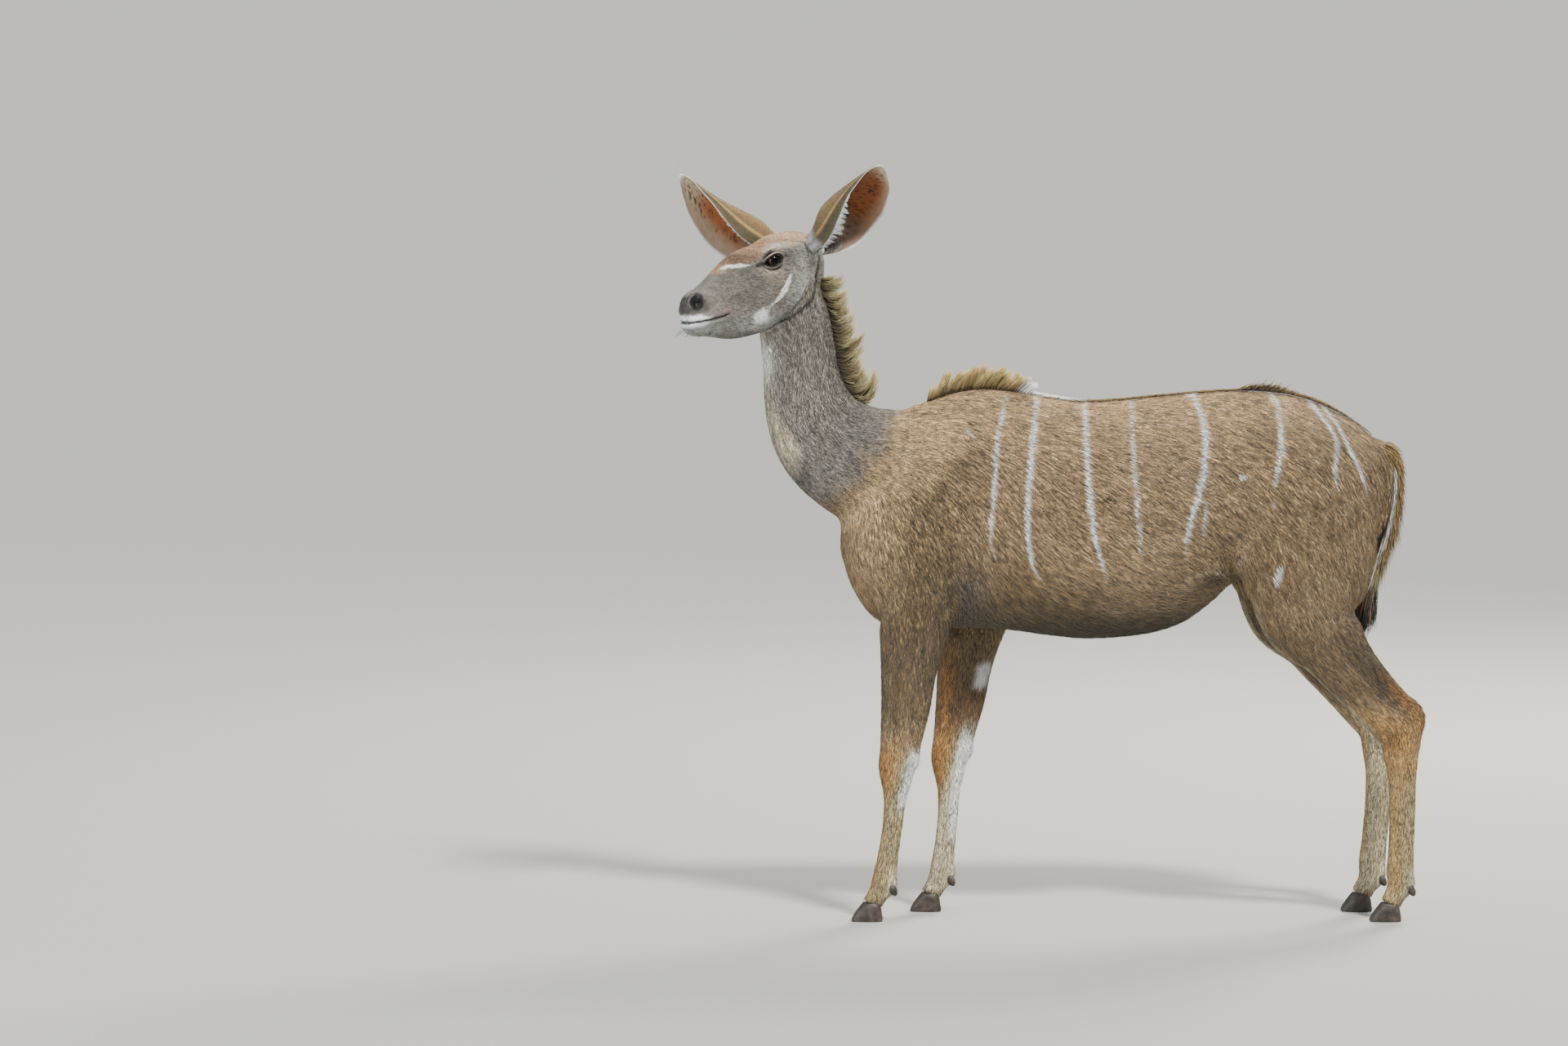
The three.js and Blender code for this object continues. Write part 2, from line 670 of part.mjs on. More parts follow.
// Even random numbers from 0 to 1 that are the same each time.
function seeded(seed) {
  let state = seed;
  return () => {
    state = (state * 1103515245 + 12345) % 2147483648;
    return state / 2147483648;
  };
}

// One flat lock of hair, tapering to a point and bending towards its bow.
function lock({ root, way, bow, wide, length, width, thick }) {
  const TAPER = [1, 0.95, 0.6];
  const points = [];
  const at = (t) =>
    root
      .clone()
      .addScaledVector(way, length * t)
      .addScaledVector(bow, length * t * t);
  TAPER.forEach((share, i) => {
    const t = (i / TAPER.length) * 1.05;
    const line = at(t + 0.01).sub(at(t - 0.01)).normalize();
    const across = wide.clone().addScaledVector(line, -wide.dot(line)).normalize();
    const through = line.clone().cross(across);
    for (let k = 0; k < 4; k += 1) {
      const a = (k * Math.PI) / 2;
      points.push(
        at(t)
          .addScaledVector(across, (Math.cos(a) * width * share) / 2)
          .addScaledVector(through, (Math.sin(a) * thick * share) / 2),
      );
    }
  });
  return tube(points, TAPER.length, 4, at(-0.05), at(1));
}

// Rows of locks along the top line of a part, from one share of its length to another.
function fringe(part, { rows, count, from, to, reach, width, thick, lean, bend, sink, seed }) {
  const random = seeded(seed);
  const made = [];
  rows.forEach((row, r) => {
    for (let i = 0; i < count; i += 1) {
      const share = (i + 0.5 * (r % 2) + 0.25 + 0.3 * (random() - 0.5)) / count;
      const s = part.length * (from + (to - from) * share);
      const { along, side, top } = part.frame(s);
      const tilt = lean + 0.16 * (random() - 0.5);
      const splay = row * 0.9 + 0.1 * (random() - 0.5);
      const way = top
        .clone()
        .multiplyScalar(Math.cos(tilt))
        .addScaledVector(along, Math.sin(tilt))
        .addScaledVector(side, -splay)
        .normalize();
      const length = reach(share) * (0.88 + 0.2 * random());
      made.push(
        lock({
          root: part.point(s, Math.PI / 2 + row).addScaledVector(top, -sink),
          way,
          bow: along.clone().multiplyScalar(bend),
          wide: along.clone(),
          length: length + sink,
          width: width * (0.9 + 0.2 * random()),
          thick,
        }),
      );
    }
  });
  return made;
}

// Tail, hanging from the end of the rump.
const tail = new Flesh(
  [
    { at: [765, 0, 1108], up: 18, down: 20, side: 20 },
    { at: [792, -2, 1096], up: 20, down: 18, side: 22 },
    { at: [812, -4, 1056], up: 18, down: 17, side: 24 },
    { at: [813, -6, 1000], up: 17, down: 16, side: 25 },
    { at: [803, -8, 930], up: 17, down: 16, side: 25 },
    { at: [782, -10, 862], up: 16, down: 15, side: 23 },
    { at: [761, -12, 795], up: 14, down: 13, side: 18 },
    { at: [751, -14, 745], up: 14, down: 13, side: 16 },
    { at: [745, -15, 705], up: 9, down: 9, side: 10 },
  ],
  { square: 1 },
);

// Locks that lie down the tail, with the tuft at its end.
function tailLocks() {
  const ROUND = 6;
  const TIERS = 4;
  const random = seeded(41);
  const made = [];
  for (let tier = 0; tier < TIERS; tier += 1)
    for (let k = 0; k < ROUND; k += 1) {
      const last = tier === TIERS - 1;
      const a = ((k + 0.5 * (tier % 2)) * 2 * Math.PI) / ROUND;
      const s = tail.length * (last ? 0.8 : 0.2 + 0.2 * tier + 0.03 * random());
      if (!last && Math.sin(a) < -0.5) continue;
      const { along, side, top } = tail.frame(s);
      const out = side.clone().multiplyScalar(Math.cos(a)).addScaledVector(top, Math.sin(a));
      const wide = along.clone().cross(out).normalize();
      const way = along.clone().addScaledVector(out, 0.2).normalize();
      made.push(
        lock({
          root: tail.point(s, a).addScaledVector(out, -6),
          way,
          bow: out.clone().multiplyScalar(last ? -0.12 : -0.1),
          wide,
          length: (last ? 128 : 112) * (0.9 + 0.15 * random()),
          width: last ? 21 : 28,
          thick: 7,
        }),
      );
    }
  return made;
}

// Put together.
const group = new THREE.Group();
function add(name, solid, material) {
  const m = largest(solid).getMesh();
  const n = m.numProp;
  const flat = new Float32Array(m.numVert * 3);
  for (let i = 0; i < m.numVert; i += 1) flat.set(m.vertProperties.subarray(i * n, i * n + 3), i * 3);
  const g = new THREE.BufferGeometry();
  g.setAttribute("position", new THREE.BufferAttribute(flat, 3));
  g.setIndex(new THREE.BufferAttribute(new Uint32Array(m.triVerts), 1));
  const mesh = new THREE.Mesh(g, material);
  mesh.name = name;
  group.add(mesh);
}

const legs = LEGS.map(legNodes);
const TRUNK_DETAIL = { sides: 28, steps: 1 };
const trunkSolid = trunk.solid(TRUNK_DETAIL);
const trunkGrown = trunk.solid({ ...TRUNK_DETAIL, grow: FINE_GAP });
const thighsGrown = LEGS.filter((l) => l.profile === HIND_PROFILE).map((l) =>
  limb(l.joints, l.profile).solid({ ...LIMB_DETAIL, grow: FINE_GAP }),
);
const headGrown = head.solid({ ...HEAD_DETAIL, grow: FINE_GAP });

// The mane on the nape, the crest over the withers and the low ridge on the rump.
const mane = fringe(neck, {
  rows: [-0.09, 0.09],
  count: 15,
  from: 0.03,
  to: 0.63,
  reach: (t) => MANE_REACH * (0.62 + 0.5 * Math.sin(Math.PI * (0.12 + 0.72 * t))),
  width: 34,
  thick: 7,
  lean: 0.62,
  bend: -0.3,
  sink: 14,
  seed: 7,
});
const crest = fringe(trunk, {
  rows: [-0.07, 0.07],
  count: 11,
  from: 0.168,
  to: 0.33,
  reach: (t) => CREST_REACH * (0.4 + 0.6 * Math.sin(Math.PI * (0.2 + 0.68 * t))),
  width: 34,
  thick: 7,
  lean: 0.42,
  bend: 0.22,
  sink: 14,
  seed: 19,
});
const ridge = fringe(trunk, {
  rows: [-0.05, 0.05],
  count: 6,
  from: 0.775,
  to: 0.88,
  reach: () => 36,
  width: 20,
  thick: 8,
  lean: 1.1,
  bend: 0.1,
  sink: 12,
  seed: 29,
});

// The neck and trunk part at the base of the neck.
const NECK_BASE = v3(-400, 0, 1060);
const NECK_WAY = v3(-0.851, 0, 0.525);
const front = join([trunkSolid, neck.solid({ sides: 22, steps: 1 })]);
const torso = join([front, ...crest, ...ridge]);
add(
  "torso",
  join([beyond(torso, NECK_BASE, NECK_WAY.clone().negate()), ...legs.map((l) => l.upper)]),
  COAT_BROWN,
);
add("neck", beyond(join([front, ...mane]), NECK_BASE, NECK_WAY).subtract(headGrown), COAT_GREY);

const headSolid = join([head.solid(HEAD_DETAIL), lids(1), lids(-1)]).subtract(
  join([eyeball(1, FINE_GAP), eyeball(-1, FINE_GAP), mouthSlit(), nostril(1), nostril(-1)]),
);
add("head", headSolid, COAT_GREY);
add("eye_left", eyeball(1), EYE);
add("eye_right", eyeball(-1), EYE);
for (const [name, shape] of Object.entries(EARS)) add(name, ear(shape).subtract(headGrown), COAT_EAR);
const tailSolid = join([tail.solid({ sides: 12, steps: 1 }), ...tailLocks()]);
add("tail", tailSolid.subtract(join([trunkGrown, ...thighsGrown])), COAT_TAIL);
for (const { nodes, hind } of legs)
  for (const [name, solid] of Object.entries(nodes)) {
    const horn = name.startsWith("hoof") || name.startsWith("dewclaw");
    const clear = hind && name.startsWith("thigh") ? solid.subtract(trunkGrown) : solid;
    add(name, clear, horn ? HORN : COAT_FAWN);
  }

export default group;
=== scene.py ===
"""A greater kudu cow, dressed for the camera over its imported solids.

Places and sizes of the body are in millimetres in the frame's own axes: +X from head to tail, -Y the animal's
left side, +Z up from the floor. They become metres where a mesh is made.
"""

import logging
import math
from dataclasses import dataclass, replace
from enum import IntEnum

import bpy
import numpy as np
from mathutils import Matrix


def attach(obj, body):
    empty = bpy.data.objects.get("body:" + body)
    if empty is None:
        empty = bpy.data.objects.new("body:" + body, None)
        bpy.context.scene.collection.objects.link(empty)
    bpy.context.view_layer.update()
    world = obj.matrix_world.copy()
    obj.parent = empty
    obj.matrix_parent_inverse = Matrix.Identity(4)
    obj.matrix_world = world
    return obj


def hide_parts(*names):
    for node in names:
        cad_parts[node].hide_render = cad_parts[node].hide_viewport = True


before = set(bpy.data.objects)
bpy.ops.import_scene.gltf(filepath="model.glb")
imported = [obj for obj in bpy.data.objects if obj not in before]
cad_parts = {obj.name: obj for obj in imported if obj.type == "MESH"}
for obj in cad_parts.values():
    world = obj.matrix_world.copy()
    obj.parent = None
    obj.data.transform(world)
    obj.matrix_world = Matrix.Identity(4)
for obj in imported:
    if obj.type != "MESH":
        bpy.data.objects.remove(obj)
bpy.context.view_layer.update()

BODY = "root"
MM = 0.001
SEED = 20
COAT_NAME = "coat"
BAKE_MAP = "OFBake"
log = logging.getLogger("kudu")

Array = np.ndarray
Piece, Mesh, Material = bpy.types.Object, bpy.types.Mesh, bpy.types.Material
Pair = tuple[float, float]
Triple = tuple[float, float, float]


class Part(IntEnum):
    """Parts of the one skin, each with its own run of sections."""

    TRUNK = 0
    NECK = 1
    HEAD = 2
    FORE_LEFT = 3
    FORE_RIGHT = 4
    HIND_LEFT = 5
    HIND_RIGHT = 6
    TAIL = 7


FORE = (Part.FORE_LEFT, Part.FORE_RIGHT)
HIND = (Part.HIND_LEFT, Part.HIND_RIGHT)
LEGS = (*FORE, *HIND)
LEFT_SIDE, RIGHT_SIDE = 1, -1
SIDE_NAMES = {LEFT_SIDE: "left", RIGHT_SIDE: "right"}


# Small maths.


def unit(v: Array) -> Array:
    """Vectors of length one."""
    return v / np.maximum(np.linalg.norm(v, axis=-1, keepdims=True), 1e-9)


def smooth(knots: Array, values: Array, at: Array) -> Array:
    """Reads a smooth curve through values at knots.

    Args:
        knots: rising places.
        values: one row for each knot.
        at: where to read.

    Returns:
        One row for each place read.
    """
    order = np.arange(len(knots))
    before, after = np.maximum(order - 1, 0), np.minimum(order + 1, len(knots) - 1)
    slopes = (values[after] - values[before]) / (knots[after] - knots[before])[:, None]
    i = np.clip(np.searchsorted(knots, at) - 1, 0, len(knots) - 2)
    span = (knots[i + 1] - knots[i])[:, None]
    t = (at - knots[i])[:, None] / span
    t2, t3 = t * t, t * t * t
    level = (2 * t3 - 3 * t2 + 1) * values[i] + (3 * t2 - 2 * t3) * values[i + 1]
    return level + span * ((t3 - 2 * t2 + t) * slopes[i] + (t3 - t2) * slopes[i + 1])


def ramp(x: Array, low: float, high: float) -> Array:
    """0 at low, 1 at high and a soft step between."""
    t = np.clip((x - low) / (high - low), 0, 1)
    return t * t * (3 - 2 * t)


def fall(x: Array, low: float, high: float) -> Array:
    """1 at low, 0 at high and a soft step between."""
    return 1 - ramp(x, low, high)


def bell(x: Array, at: float, reach: float) -> Array:
    """1 at a value and less away from it."""
    return np.exp(-(((x - at) / reach) ** 2))


def blob(points: Array, at: Array, reach: Array) -> Array:
    """1 at a place and less away from it."""
    return np.exp(-(((points - at) / reach) ** 2).sum(axis=1))


def blend(a: Array, b: Array, share: Array) -> Array:
    """From the first colour to the second."""
    return a + (b - a) * share


def grain(points: Array, size: float, seed: int) -> Array:
    """Soft random values from -1 to 1, alike over about size.

    Args:
        points: places.
        size: width of one grain.
        seed: which pattern.

    Returns:
        One value for each place.
    """
    q = points / size + 1000.0
    cell = np.floor(q).astype(np.int64)
    f = q - cell
    f = f * f * (3 - 2 * f)
    total = np.zeros(len(points))
    for corner in range(8):
        step = np.array([corner & 1, corner >> 1 & 1, corner >> 2 & 1])
        c = cell + step
        h = c[:, 0] * 73856093 ^ c[:, 1] * 19349663 ^ c[:, 2] * 83492791 ^ seed * 2654435
        h = (h ^ h >> 13) * 1274126177 & 0xFFFFFF
        total += np.prod(np.where(step, f, 1 - f), axis=1) * (h / 0x7FFFFF - 1)
    return total


def streaks(p: Array, slope: Array, size: float, seed: int) -> Array:
    """Soft random values drawn out along a slope seen from the side.

    Args:
        p: places.
        slope: how steeply the streaks run down to the back, in radians.
        size: width of one streak.
        seed: which pattern.

    Returns:
        One value from -1 to 1 for each place.
    """
    c, n = np.cos(slope), np.sin(slope)
    along, across = p[:, 0] * c - p[:, 2] * n, p[:, 0] * n + p[:, 2] * c
    return grain(np.column_stack([along / 4, p[:, 1], across]), size, seed)


def along_line(points: Array, line: Array) -> tuple[Array, Array]:
    """Distance of points from a bent line, and how far along it they are.

    Args:
        points: places, in as many axes as the line.
        line: corners of the line.

    Returns:
        The distances, and the shares of its length from 0 to 1.
    """
    best = np.full(len(points), 1e9)
    share = np.zeros(len(points))
    steps = np.linalg.norm(np.diff(line, axis=0), axis=1)
    start = 0.0
    for a, b, step in zip(line[:-1], line[1:], steps):
        t = np.clip((points - a) @ (b - a) / max(step * step, 1e-9), 0, 1)
        away = np.linalg.norm(points - a - t[:, None] * (b - a), axis=1)
        nearer = away < best
        best[nearer] = away[nearer]
        share[nearer] = (start + t[nearer] * step) / max(steps.sum(), 1e-9)
        start += step
    return best, share


@dataclass(frozen=True)
class Swell:
    """A soft rise, or hollow if negative, alike on both sides of the body."""

    at: Triple
    reach: Triple
    rise: float

    def lift(self, p: Array) -> Array:
        """How far it lifts each point outwards."""
        q = np.column_stack([p[:, 0], np.abs(p[:, 1]), p[:, 2]])
        return self.rise * blob(q, self.at, self.reach)


@dataclass(frozen=True)
class Crease:
    """A soft groove, or ridge if the depth is negative, along a line seen from the side, on both sides."""

    line: tuple[Pair, ...]
    width: float
    depth: float

    def lift(self, p: Array) -> Array:
        """How far it lifts each point outwards."""
        away, share = along_line(p[:, [0, 2]], np.array(self.line, float))
        fade = np.clip(4 * share, 0.25, 1) * np.clip(4 * (1 - share), 0.25, 1)
        return -self.depth * fade * bell(away, 0, self.width)


# Sections.


class Loft:
    """Oval sections strung on a bent line, as in the solids."""

    def __init__(
        self,
        rows: list[tuple[float, ...]],
        square: float = 0.92,
        lateral: Triple | Array = (0, 1, 0),
        plane: Triple | Array | None = None,
        swells: tuple[tuple, ...] = (),
        place: object = None,
    ) -> None:
        """Strings the sections.

        Args:
            rows: centre (3), reach up, down and to the side, and the fullness above and below.
            square: below 1 for fuller corners.
            lateral: direction to the side.
            plane: the way that all sections face, or None to face along the line.
            swells: rows of each Swell on the surface.
            place: turns points into the swells' coordinates.
        """
        self.rows = np.array([(*r, *(1,) * (8 - len(r))) for r in rows], float)
        steps = np.linalg.norm(np.diff(self.rows[:, :3], axis=0), axis=1)
        self.knots = np.concatenate([[0], np.cumsum(steps)])
        self.length = float(self.knots[-1])
        self.square = square
        self.lateral = np.array(lateral, float)
        self.plane = None if plane is None else np.array(plane, float)
        self.swells = swells
        self.place = place or (lambda p: p)

    def read(self, s: Array) -> Array:
        """The section's numbers at distances along."""
        return smooth(self.knots, self.rows, s)

    def axes(self, s: Array) -> tuple[Array, Array, Array]:
        """Directions along, to the side and to the top at distances along."""
        step = self.length * 0.004
        ahead = self.read(np.minimum(s + step, self.length))[:, :3]
        along = unit(ahead - self.read(np.maximum(s - step, 0))[:, :3])
        if self.plane is not None:
            along = np.broadcast_to(self.plane, along.shape)
        side = unit(self.lateral - along * (along @ self.lateral)[:, None])
        return along, side, np.cross(along, side)

    def points(self, s: Array, angle: Array) -> Array:
        """Places on the surface, at distances along and angles from the side towards the top."""
        row = self.read(s)
        _, side, top = self.axes(s)
        c, n = np.cos(angle), np.sin(angle)
        full = np.where(n > 0, row[:, 6], row[:, 7])
        high = np.where(n > 0, row[:, 3], row[:, 4])
        wide = row[:, 5] * (1 + (full - 1) * n * n) * np.sign(c) * np.abs(c) ** self.square
        tall = high * np.sign(n) * np.abs(n) ** self.square
        out = side * wide[:, None] + top * tall[:, None]
        p = row[:, :3] + out
        rise = sum((Swell(*w).lift(self.place(p)) for w in self.swells), np.zeros(len(p)))
        return p + unit(out) * rise[:, None]

    def locate(self, p: Array) -> tuple[Array, Array, Array]:
        """Finds points in this loft's own terms.

        Args:
            p: places.

        Returns:
            Distance along, angle from the side towards the top, and height over the surface.
        """
        if self.plane is not None:
            s = np.interp(p @ self.plane, self.rows[:, :3] @ self.plane, self.knots)
        else:
            fine = np.linspace(0, self.length, 60)
            _, share = along_line(p, self.read(fine)[:, :3])
            s = share * self.length
        row = self.read(s)
        _, side, top = self.axes(s)
        d = p - row[:, :3]
        across, up = (d * side).sum(1), (d * top).sum(1)
        angle = np.arctan2(up, across)
        n = np.abs(np.sin(angle))
        high = np.where(up > 0, row[:, 3], row[:, 4])
        full = np.where(up > 0, row[:, 6], row[:, 7])
        wide = row[:, 5] * (1 + (full - 1) * n * n)
        power = 2 / self.square
        radius = ((np.abs(np.cos(angle)) / wide) ** power + (n / high) ** power) ** (-1 / power)
        beyond = np.linalg.norm(d - side * across[:, None] - top * up[:, None], axis=1)
        return s, angle, np.hypot(np.hypot(across, up), beyond) - radius

    def shell(self, rings: int, sides: int) -> tuple[Array, list[tuple[int, ...]]]:
        """The closed surface, with a middle point at each end.

        Args:
            rings: how many rings along.
            sides: points in a ring.

        Returns:
            Its vertices and faces.
        """
        s = np.repeat(np.linspace(0, self.length, rings), sides)
        angle = np.tile(np.arange(sides) * 2 * math.pi / sides, rings)
        ends = self.read(np.array([0, self.length]))[:, :3]
        verts = np.vstack([self.points(s, angle), ends])
        k = np.arange(sides)
        nxt = (k + 1) % sides
        faces = [(rings * sides, a, b) for a, b in zip(nxt, k)]
        last = (rings - 1) * sides
        faces += [(rings * sides + 1, last + a, last + b) for a, b in zip(k, nxt)]
        for r in range(rings - 1):
            o = r * sides
            faces += [(o + a, o + b, o + sides + b, o + sides + a) for a, b in zip(k, nxt)]
        return verts, faces


# The body's sizes.

WITHERS, DIP, BELLY = 1242, 1211, 652
BARREL, CHEST = 192, 158
FETLOCK, HOOF = 88, 38
HEAD_TURN = math.radians(35)
POLL = np.array([-557.0, 8.0, 1560.0])
FORWARD = np.array([-math.cos(HEAD_TURN), -math.sin(HEAD_TURN), 0.0])
LEFTWARD = np.array([math.sin(HEAD_TURN), -math.cos(HEAD_TURN), 0.0])
HEAD_REACH = 342
EYE_PLACE = (129, 45, 1541)
EYE_RADIUS = 20.0
UP = np.array([0.0, 0.0, 1.0])


def on_head(forward: Array, left: Array, height: Array) -> Array:
    """A place from its distance forward of the poll, to the left of the middle, and its height."""
    forward, left, height = np.broadcast_arrays(forward, left, height)
    level = POLL[:2] + forward[..., None] * FORWARD[:2] + left[..., None] * LEFTWARD[:2]
    return np.concatenate([level, height[..., None].astype(float)], axis=-1)


def head_place(p: Array) -> Array:
    """Points as forward, left and height on the head."""
    d = p - POLL
    return np.column_stack([d @ FORWARD, d @ LEFTWARD, p[:, 2]])


def trunk_row(x: float, top: float, bottom: float, side: float, crown: float, keel: float) -> tuple:
    """A section of the trunk from its top and underside."""
    middle = bottom + (top - bottom) * 0.47
    return (x, 0, middle, top - middle, middle - bottom, side, crown, keel)


def head_row(f: float, top: float, bottom: float, side: float, crown: float, keel: float) -> tuple:
    """A section of the head from its top and underside."""
    middle = (top + bottom) / 2
    return (*on_head(f, 0, middle), top - middle, middle - bottom, side, crown, keel)


def limb_rows(joints: tuple, profile: tuple) -> list[tuple]:
    """Sections of a limb.

    Args:
        joints: places from the top down.
        profile: rows of bone, share down it, reach to the back, to the front and to each side.

    Returns:
        Rows for a Loft.
    """
    rows = []
    for bone, share, up, down, side in profile:
        a, b = np.array(joints[bone], float), np.array(joints[bone + 1], float)
        rows.append((*(a + (b - a) * share), up, down, side))
    return rows


TRUNK_SECTIONS = (
    (-482, 925, 860, 30, 0.9, 0.9), (-462, 985, 790, 86, 0.8, 0.8), (-415, 1090, 712, 128, 0.7, 0.85),
    (-350, 1180, 678, CHEST - 8, 0.5, 0.9), (-270, WITHERS - 28, 676, CHEST, 0.42, 0.92),
    (-180, WITHERS - 3, 678, CHEST + 2, 0.38, 0.9), (-90, WITHERS - 4, 672, CHEST + 12, 0.45, 0.85),
    (0, WITHERS - 20, 660, BARREL - 10, 0.58, 0.9), (85, DIP, BELLY, BARREL, 0.66, 0.92),
    (170, DIP + 4, BELLY + 3, BARREL + 2, 0.68, 0.92), (250, DIP + 12, 666, BARREL, 0.68, 0.9),
    (320, DIP + 18, 690, BARREL - 10, 0.66, 0.86), (385, DIP + 23, 735, BARREL - 22, 0.66, 0.8),
    (440, DIP + 25, 784, BARREL - 30, 0.66, 0.8), (510, DIP + 23, 800, BARREL - 34, 0.64, 0.8),
    (590, DIP + 11, 802, BARREL - 38, 0.6, 0.8), (665, 1193, 815, BARREL - 50, 0.56, 0.8),
    (725, 1158, 845, BARREL - 74, 0.56, 0.8), (770, 1120, 890, BARREL - 108, 0.66, 0.85),
    (796, 1070, 945, BARREL - 150, 0.9, 0.9),
)
TRUNK_SWELLS = (
    ((-235, 110, 1105), (95, 90, 120), 12),  # shoulder blade
    ((-315, 150, 800), (95, 80, 110), 16),  # triceps
    ((-430, 110, 860), (60, 60, 75), 12),  # point of the shoulder
    ((-165, 150, 900), (45, 80, 130), -9),  # hollow behind the shoulder
    ((455, 130, 1150), (55, 60, 50), 12),  # hip bone
    ((395, 170, 1060), (60, 70, 80), -14),  # hollow of the flank
    ((630, 140, 960), (115, 80, 150), 14),  # rump muscle
    ((120, 190, 800), (170, 90, 110), 8),  # paunch
)
NECK_ROWS = [
    (-572, -22, 1520, 40, 60, 46), (-583, -18, 1440, 74, 88, 54), (-577, -10, 1352, 86, 92, 54, 0.75),
    (-571, -3, 1290, 90, 92, 53, 0.7), (-564, 0, 1236, 99, 98, 56, 0.65),
    (-550, 0, 1185, 110, 108, 63, 0.6), (-526, 0, 1139, 121, 121, 74, 0.55),
    (-487, 0, 1104, 122, 137, 90, 0.5), (-430, 0, 1080, 122, 158, 110, 0.5),
    (-350, 0, 1062, 132, 176, 124, 0.5),
]
HEAD_SECTIONS = (
    (-30, 1560, 1490, 28, 0.9, 0.9), (-16, 1586, 1455, 47, 0.9, 0.85), (8, 1601, 1425, 58, 0.85, 0.8),
    (40, 1607, 1404, 62, 0.85, 0.78), (75, 1606, 1390, 62, 0.88, 0.75), (104, 1600, 1380, 60, 0.96, 0.7),
    (130, 1591, 1373, 58, 1, 0.68), (156, 1578, 1367, 54, 0.92, 0.66), (184, 1570, 1362, 50, 0.84, 0.68),
    (212, 1560, 1359, 46, 0.8, 0.7), (240, 1542, 1360, 42, 0.78, 0.74), (266, 1520, 1364, 40, 0.8, 0.78),
    (290, 1499, 1367, 39, 0.84, 0.8), (311, 1482, 1368, 39, 0.88, 0.8), (328, 1471, 1371, 37, 0.92, 0.8),
    (HEAD_REACH - 3, 1464, 1377, 31, 0.95, 0.8), (HEAD_REACH + 4, 1452, 1390, 19, 0.95, 0.9),
)
HEAD_SWELLS = (
    ((128, 62, 1548), (34, 30, 30), 9),  # eye socket
    ((62, 56, 1460), (45, 40, 48), 6),  # cheek
    ((178, 50, 1500), (40, 30, 26), -5),  # hollow before the eye
    ((324, 34, 1452), (22, 16, 18), 7),  # wing of the nostril
    ((312, 28, 1412), (34, 26, 12), 5),  # upper lip
    ((306, 22, 1380), (28, 26, 13), 3),  # lower lip
    ((252, 40, 1420), (24, 20, 20), 4),  # corner of the mouth
)
FORE_PROFILE = (
    (0, -0.6, 56, 60, 30), (0, -0.34, 78, 76, 40), (0, -0.1, 88, 84, 49), (0, 0.04, 83, 82, 51),
    (0, 0.16, 74, 76, 48), (0, 0.34, 65, 67, 41), (0, 0.56, 62, 58, 35), (0, 0.78, 53, 51, 31),
    (0, 0.92, 48, 46, 30), (1, 0.02, 43, 43, 31), (1, 0.13, 39, 37, 29), (1, 0.26, 33, 26, 23),
    (1, 0.5, 32, 20, 20), (1, 0.75, 31, 22, 21), (1, 0.9, 32, 26, 24), (2, 0.06, 34, 28, 26),
    (2, 0.45, 27, 25, 24), (2, 0.95, 24, 28, 26),
)
HIND_PROFILE = (
    (0, -0.35, 120, 100, 36), (0, 0, 186, 145, 62), (0, 0.35, 186, 152, 76), (0, 0.7, 156, 136, 76),
    (0, 0.96, 118, 105, 66), (1, 0.22, 98, 76, 55), (1, 0.42, 74, 72, 46), (1, 0.62, 64, 69, 38),
    (1, 0.82, 61, 68, 31), (1, 0.96, 60, 68, 31), (2, 0.06, 42, 64, 32), (2, 0.17, 36, 53, 29),
    (2, 0.32, 32, 40, 24), (2, 0.55, 32, 34, 22), (2, 0.78, 31, 34, 22), (2, 0.92, 32, 36, 25),
    (3, 0.06, 33, 32, 27), (3, 0.45, 26, 28, 24), (3, 0.95, 25, 29, 27),
)
JOINTS = {
    Part.FORE_LEFT: ((-308, -104, 690), (-347, -92, 362), (-381, -86, FETLOCK), (-405, -86, 36)),
    Part.FORE_RIGHT: ((-168, 104, 690), (-221, 94, 358), (-242, 88, FETLOCK), (-265, 88, 36)),
    Part.HIND_LEFT: (
        (572, -92, 985), (604, -108, 695), (834, -92, 452), (826, -88, FETLOCK), (803, -88, 36),
    ),
    Part.HIND_RIGHT: ((560, 92, 985), (584, 108, 692), (804, 92, 443), (774, 88, FETLOCK), (750, 88, 36)),
}
TAIL_ROWS = [
    (765, 0, 1108, 18, 20, 20), (792, -2, 1096, 20, 18, 22), (812, -4, 1056, 16, 15, 20),
    (813, -6, 1000, 13, 12, 17), (803, -8, 930, 11, 10, 14), (782, -10, 862, 9, 8, 11),
    (761, -12, 795, 7, 6, 8), (752, -14, 750, 4, 4, 5),
]
LOFTS = {
    Part.TRUNK: Loft([trunk_row(*row) for row in TRUNK_SECTIONS], 0.86, plane=(1, 0, 0), swells=TRUNK_SWELLS),
    Part.NECK: Loft(NECK_ROWS, 0.95),
    Part.HEAD: Loft(
        [head_row(*row) for row in HEAD_SECTIONS], 0.88, -LEFTWARD, FORWARD, HEAD_SWELLS, head_place
    ),
    Part.TAIL: Loft(TAIL_ROWS, 1.0),
}
for leg in LEGS:
    LOFTS[leg] = Loft(limb_rows(JOINTS[leg], FORE_PROFILE if leg in FORE else HIND_PROFILE), 0.95)
PARTS = tuple(Part)


# Markings.


def ink(code: int) -> Array:
    """A linear colour from a web colour."""
    c = np.array([code >> 16 & 255, code >> 8 & 255, code & 255]) / 255
    return np.where(c <= 0.04045, c / 12.92, ((c + 0.055) / 1.055) ** 2.4)


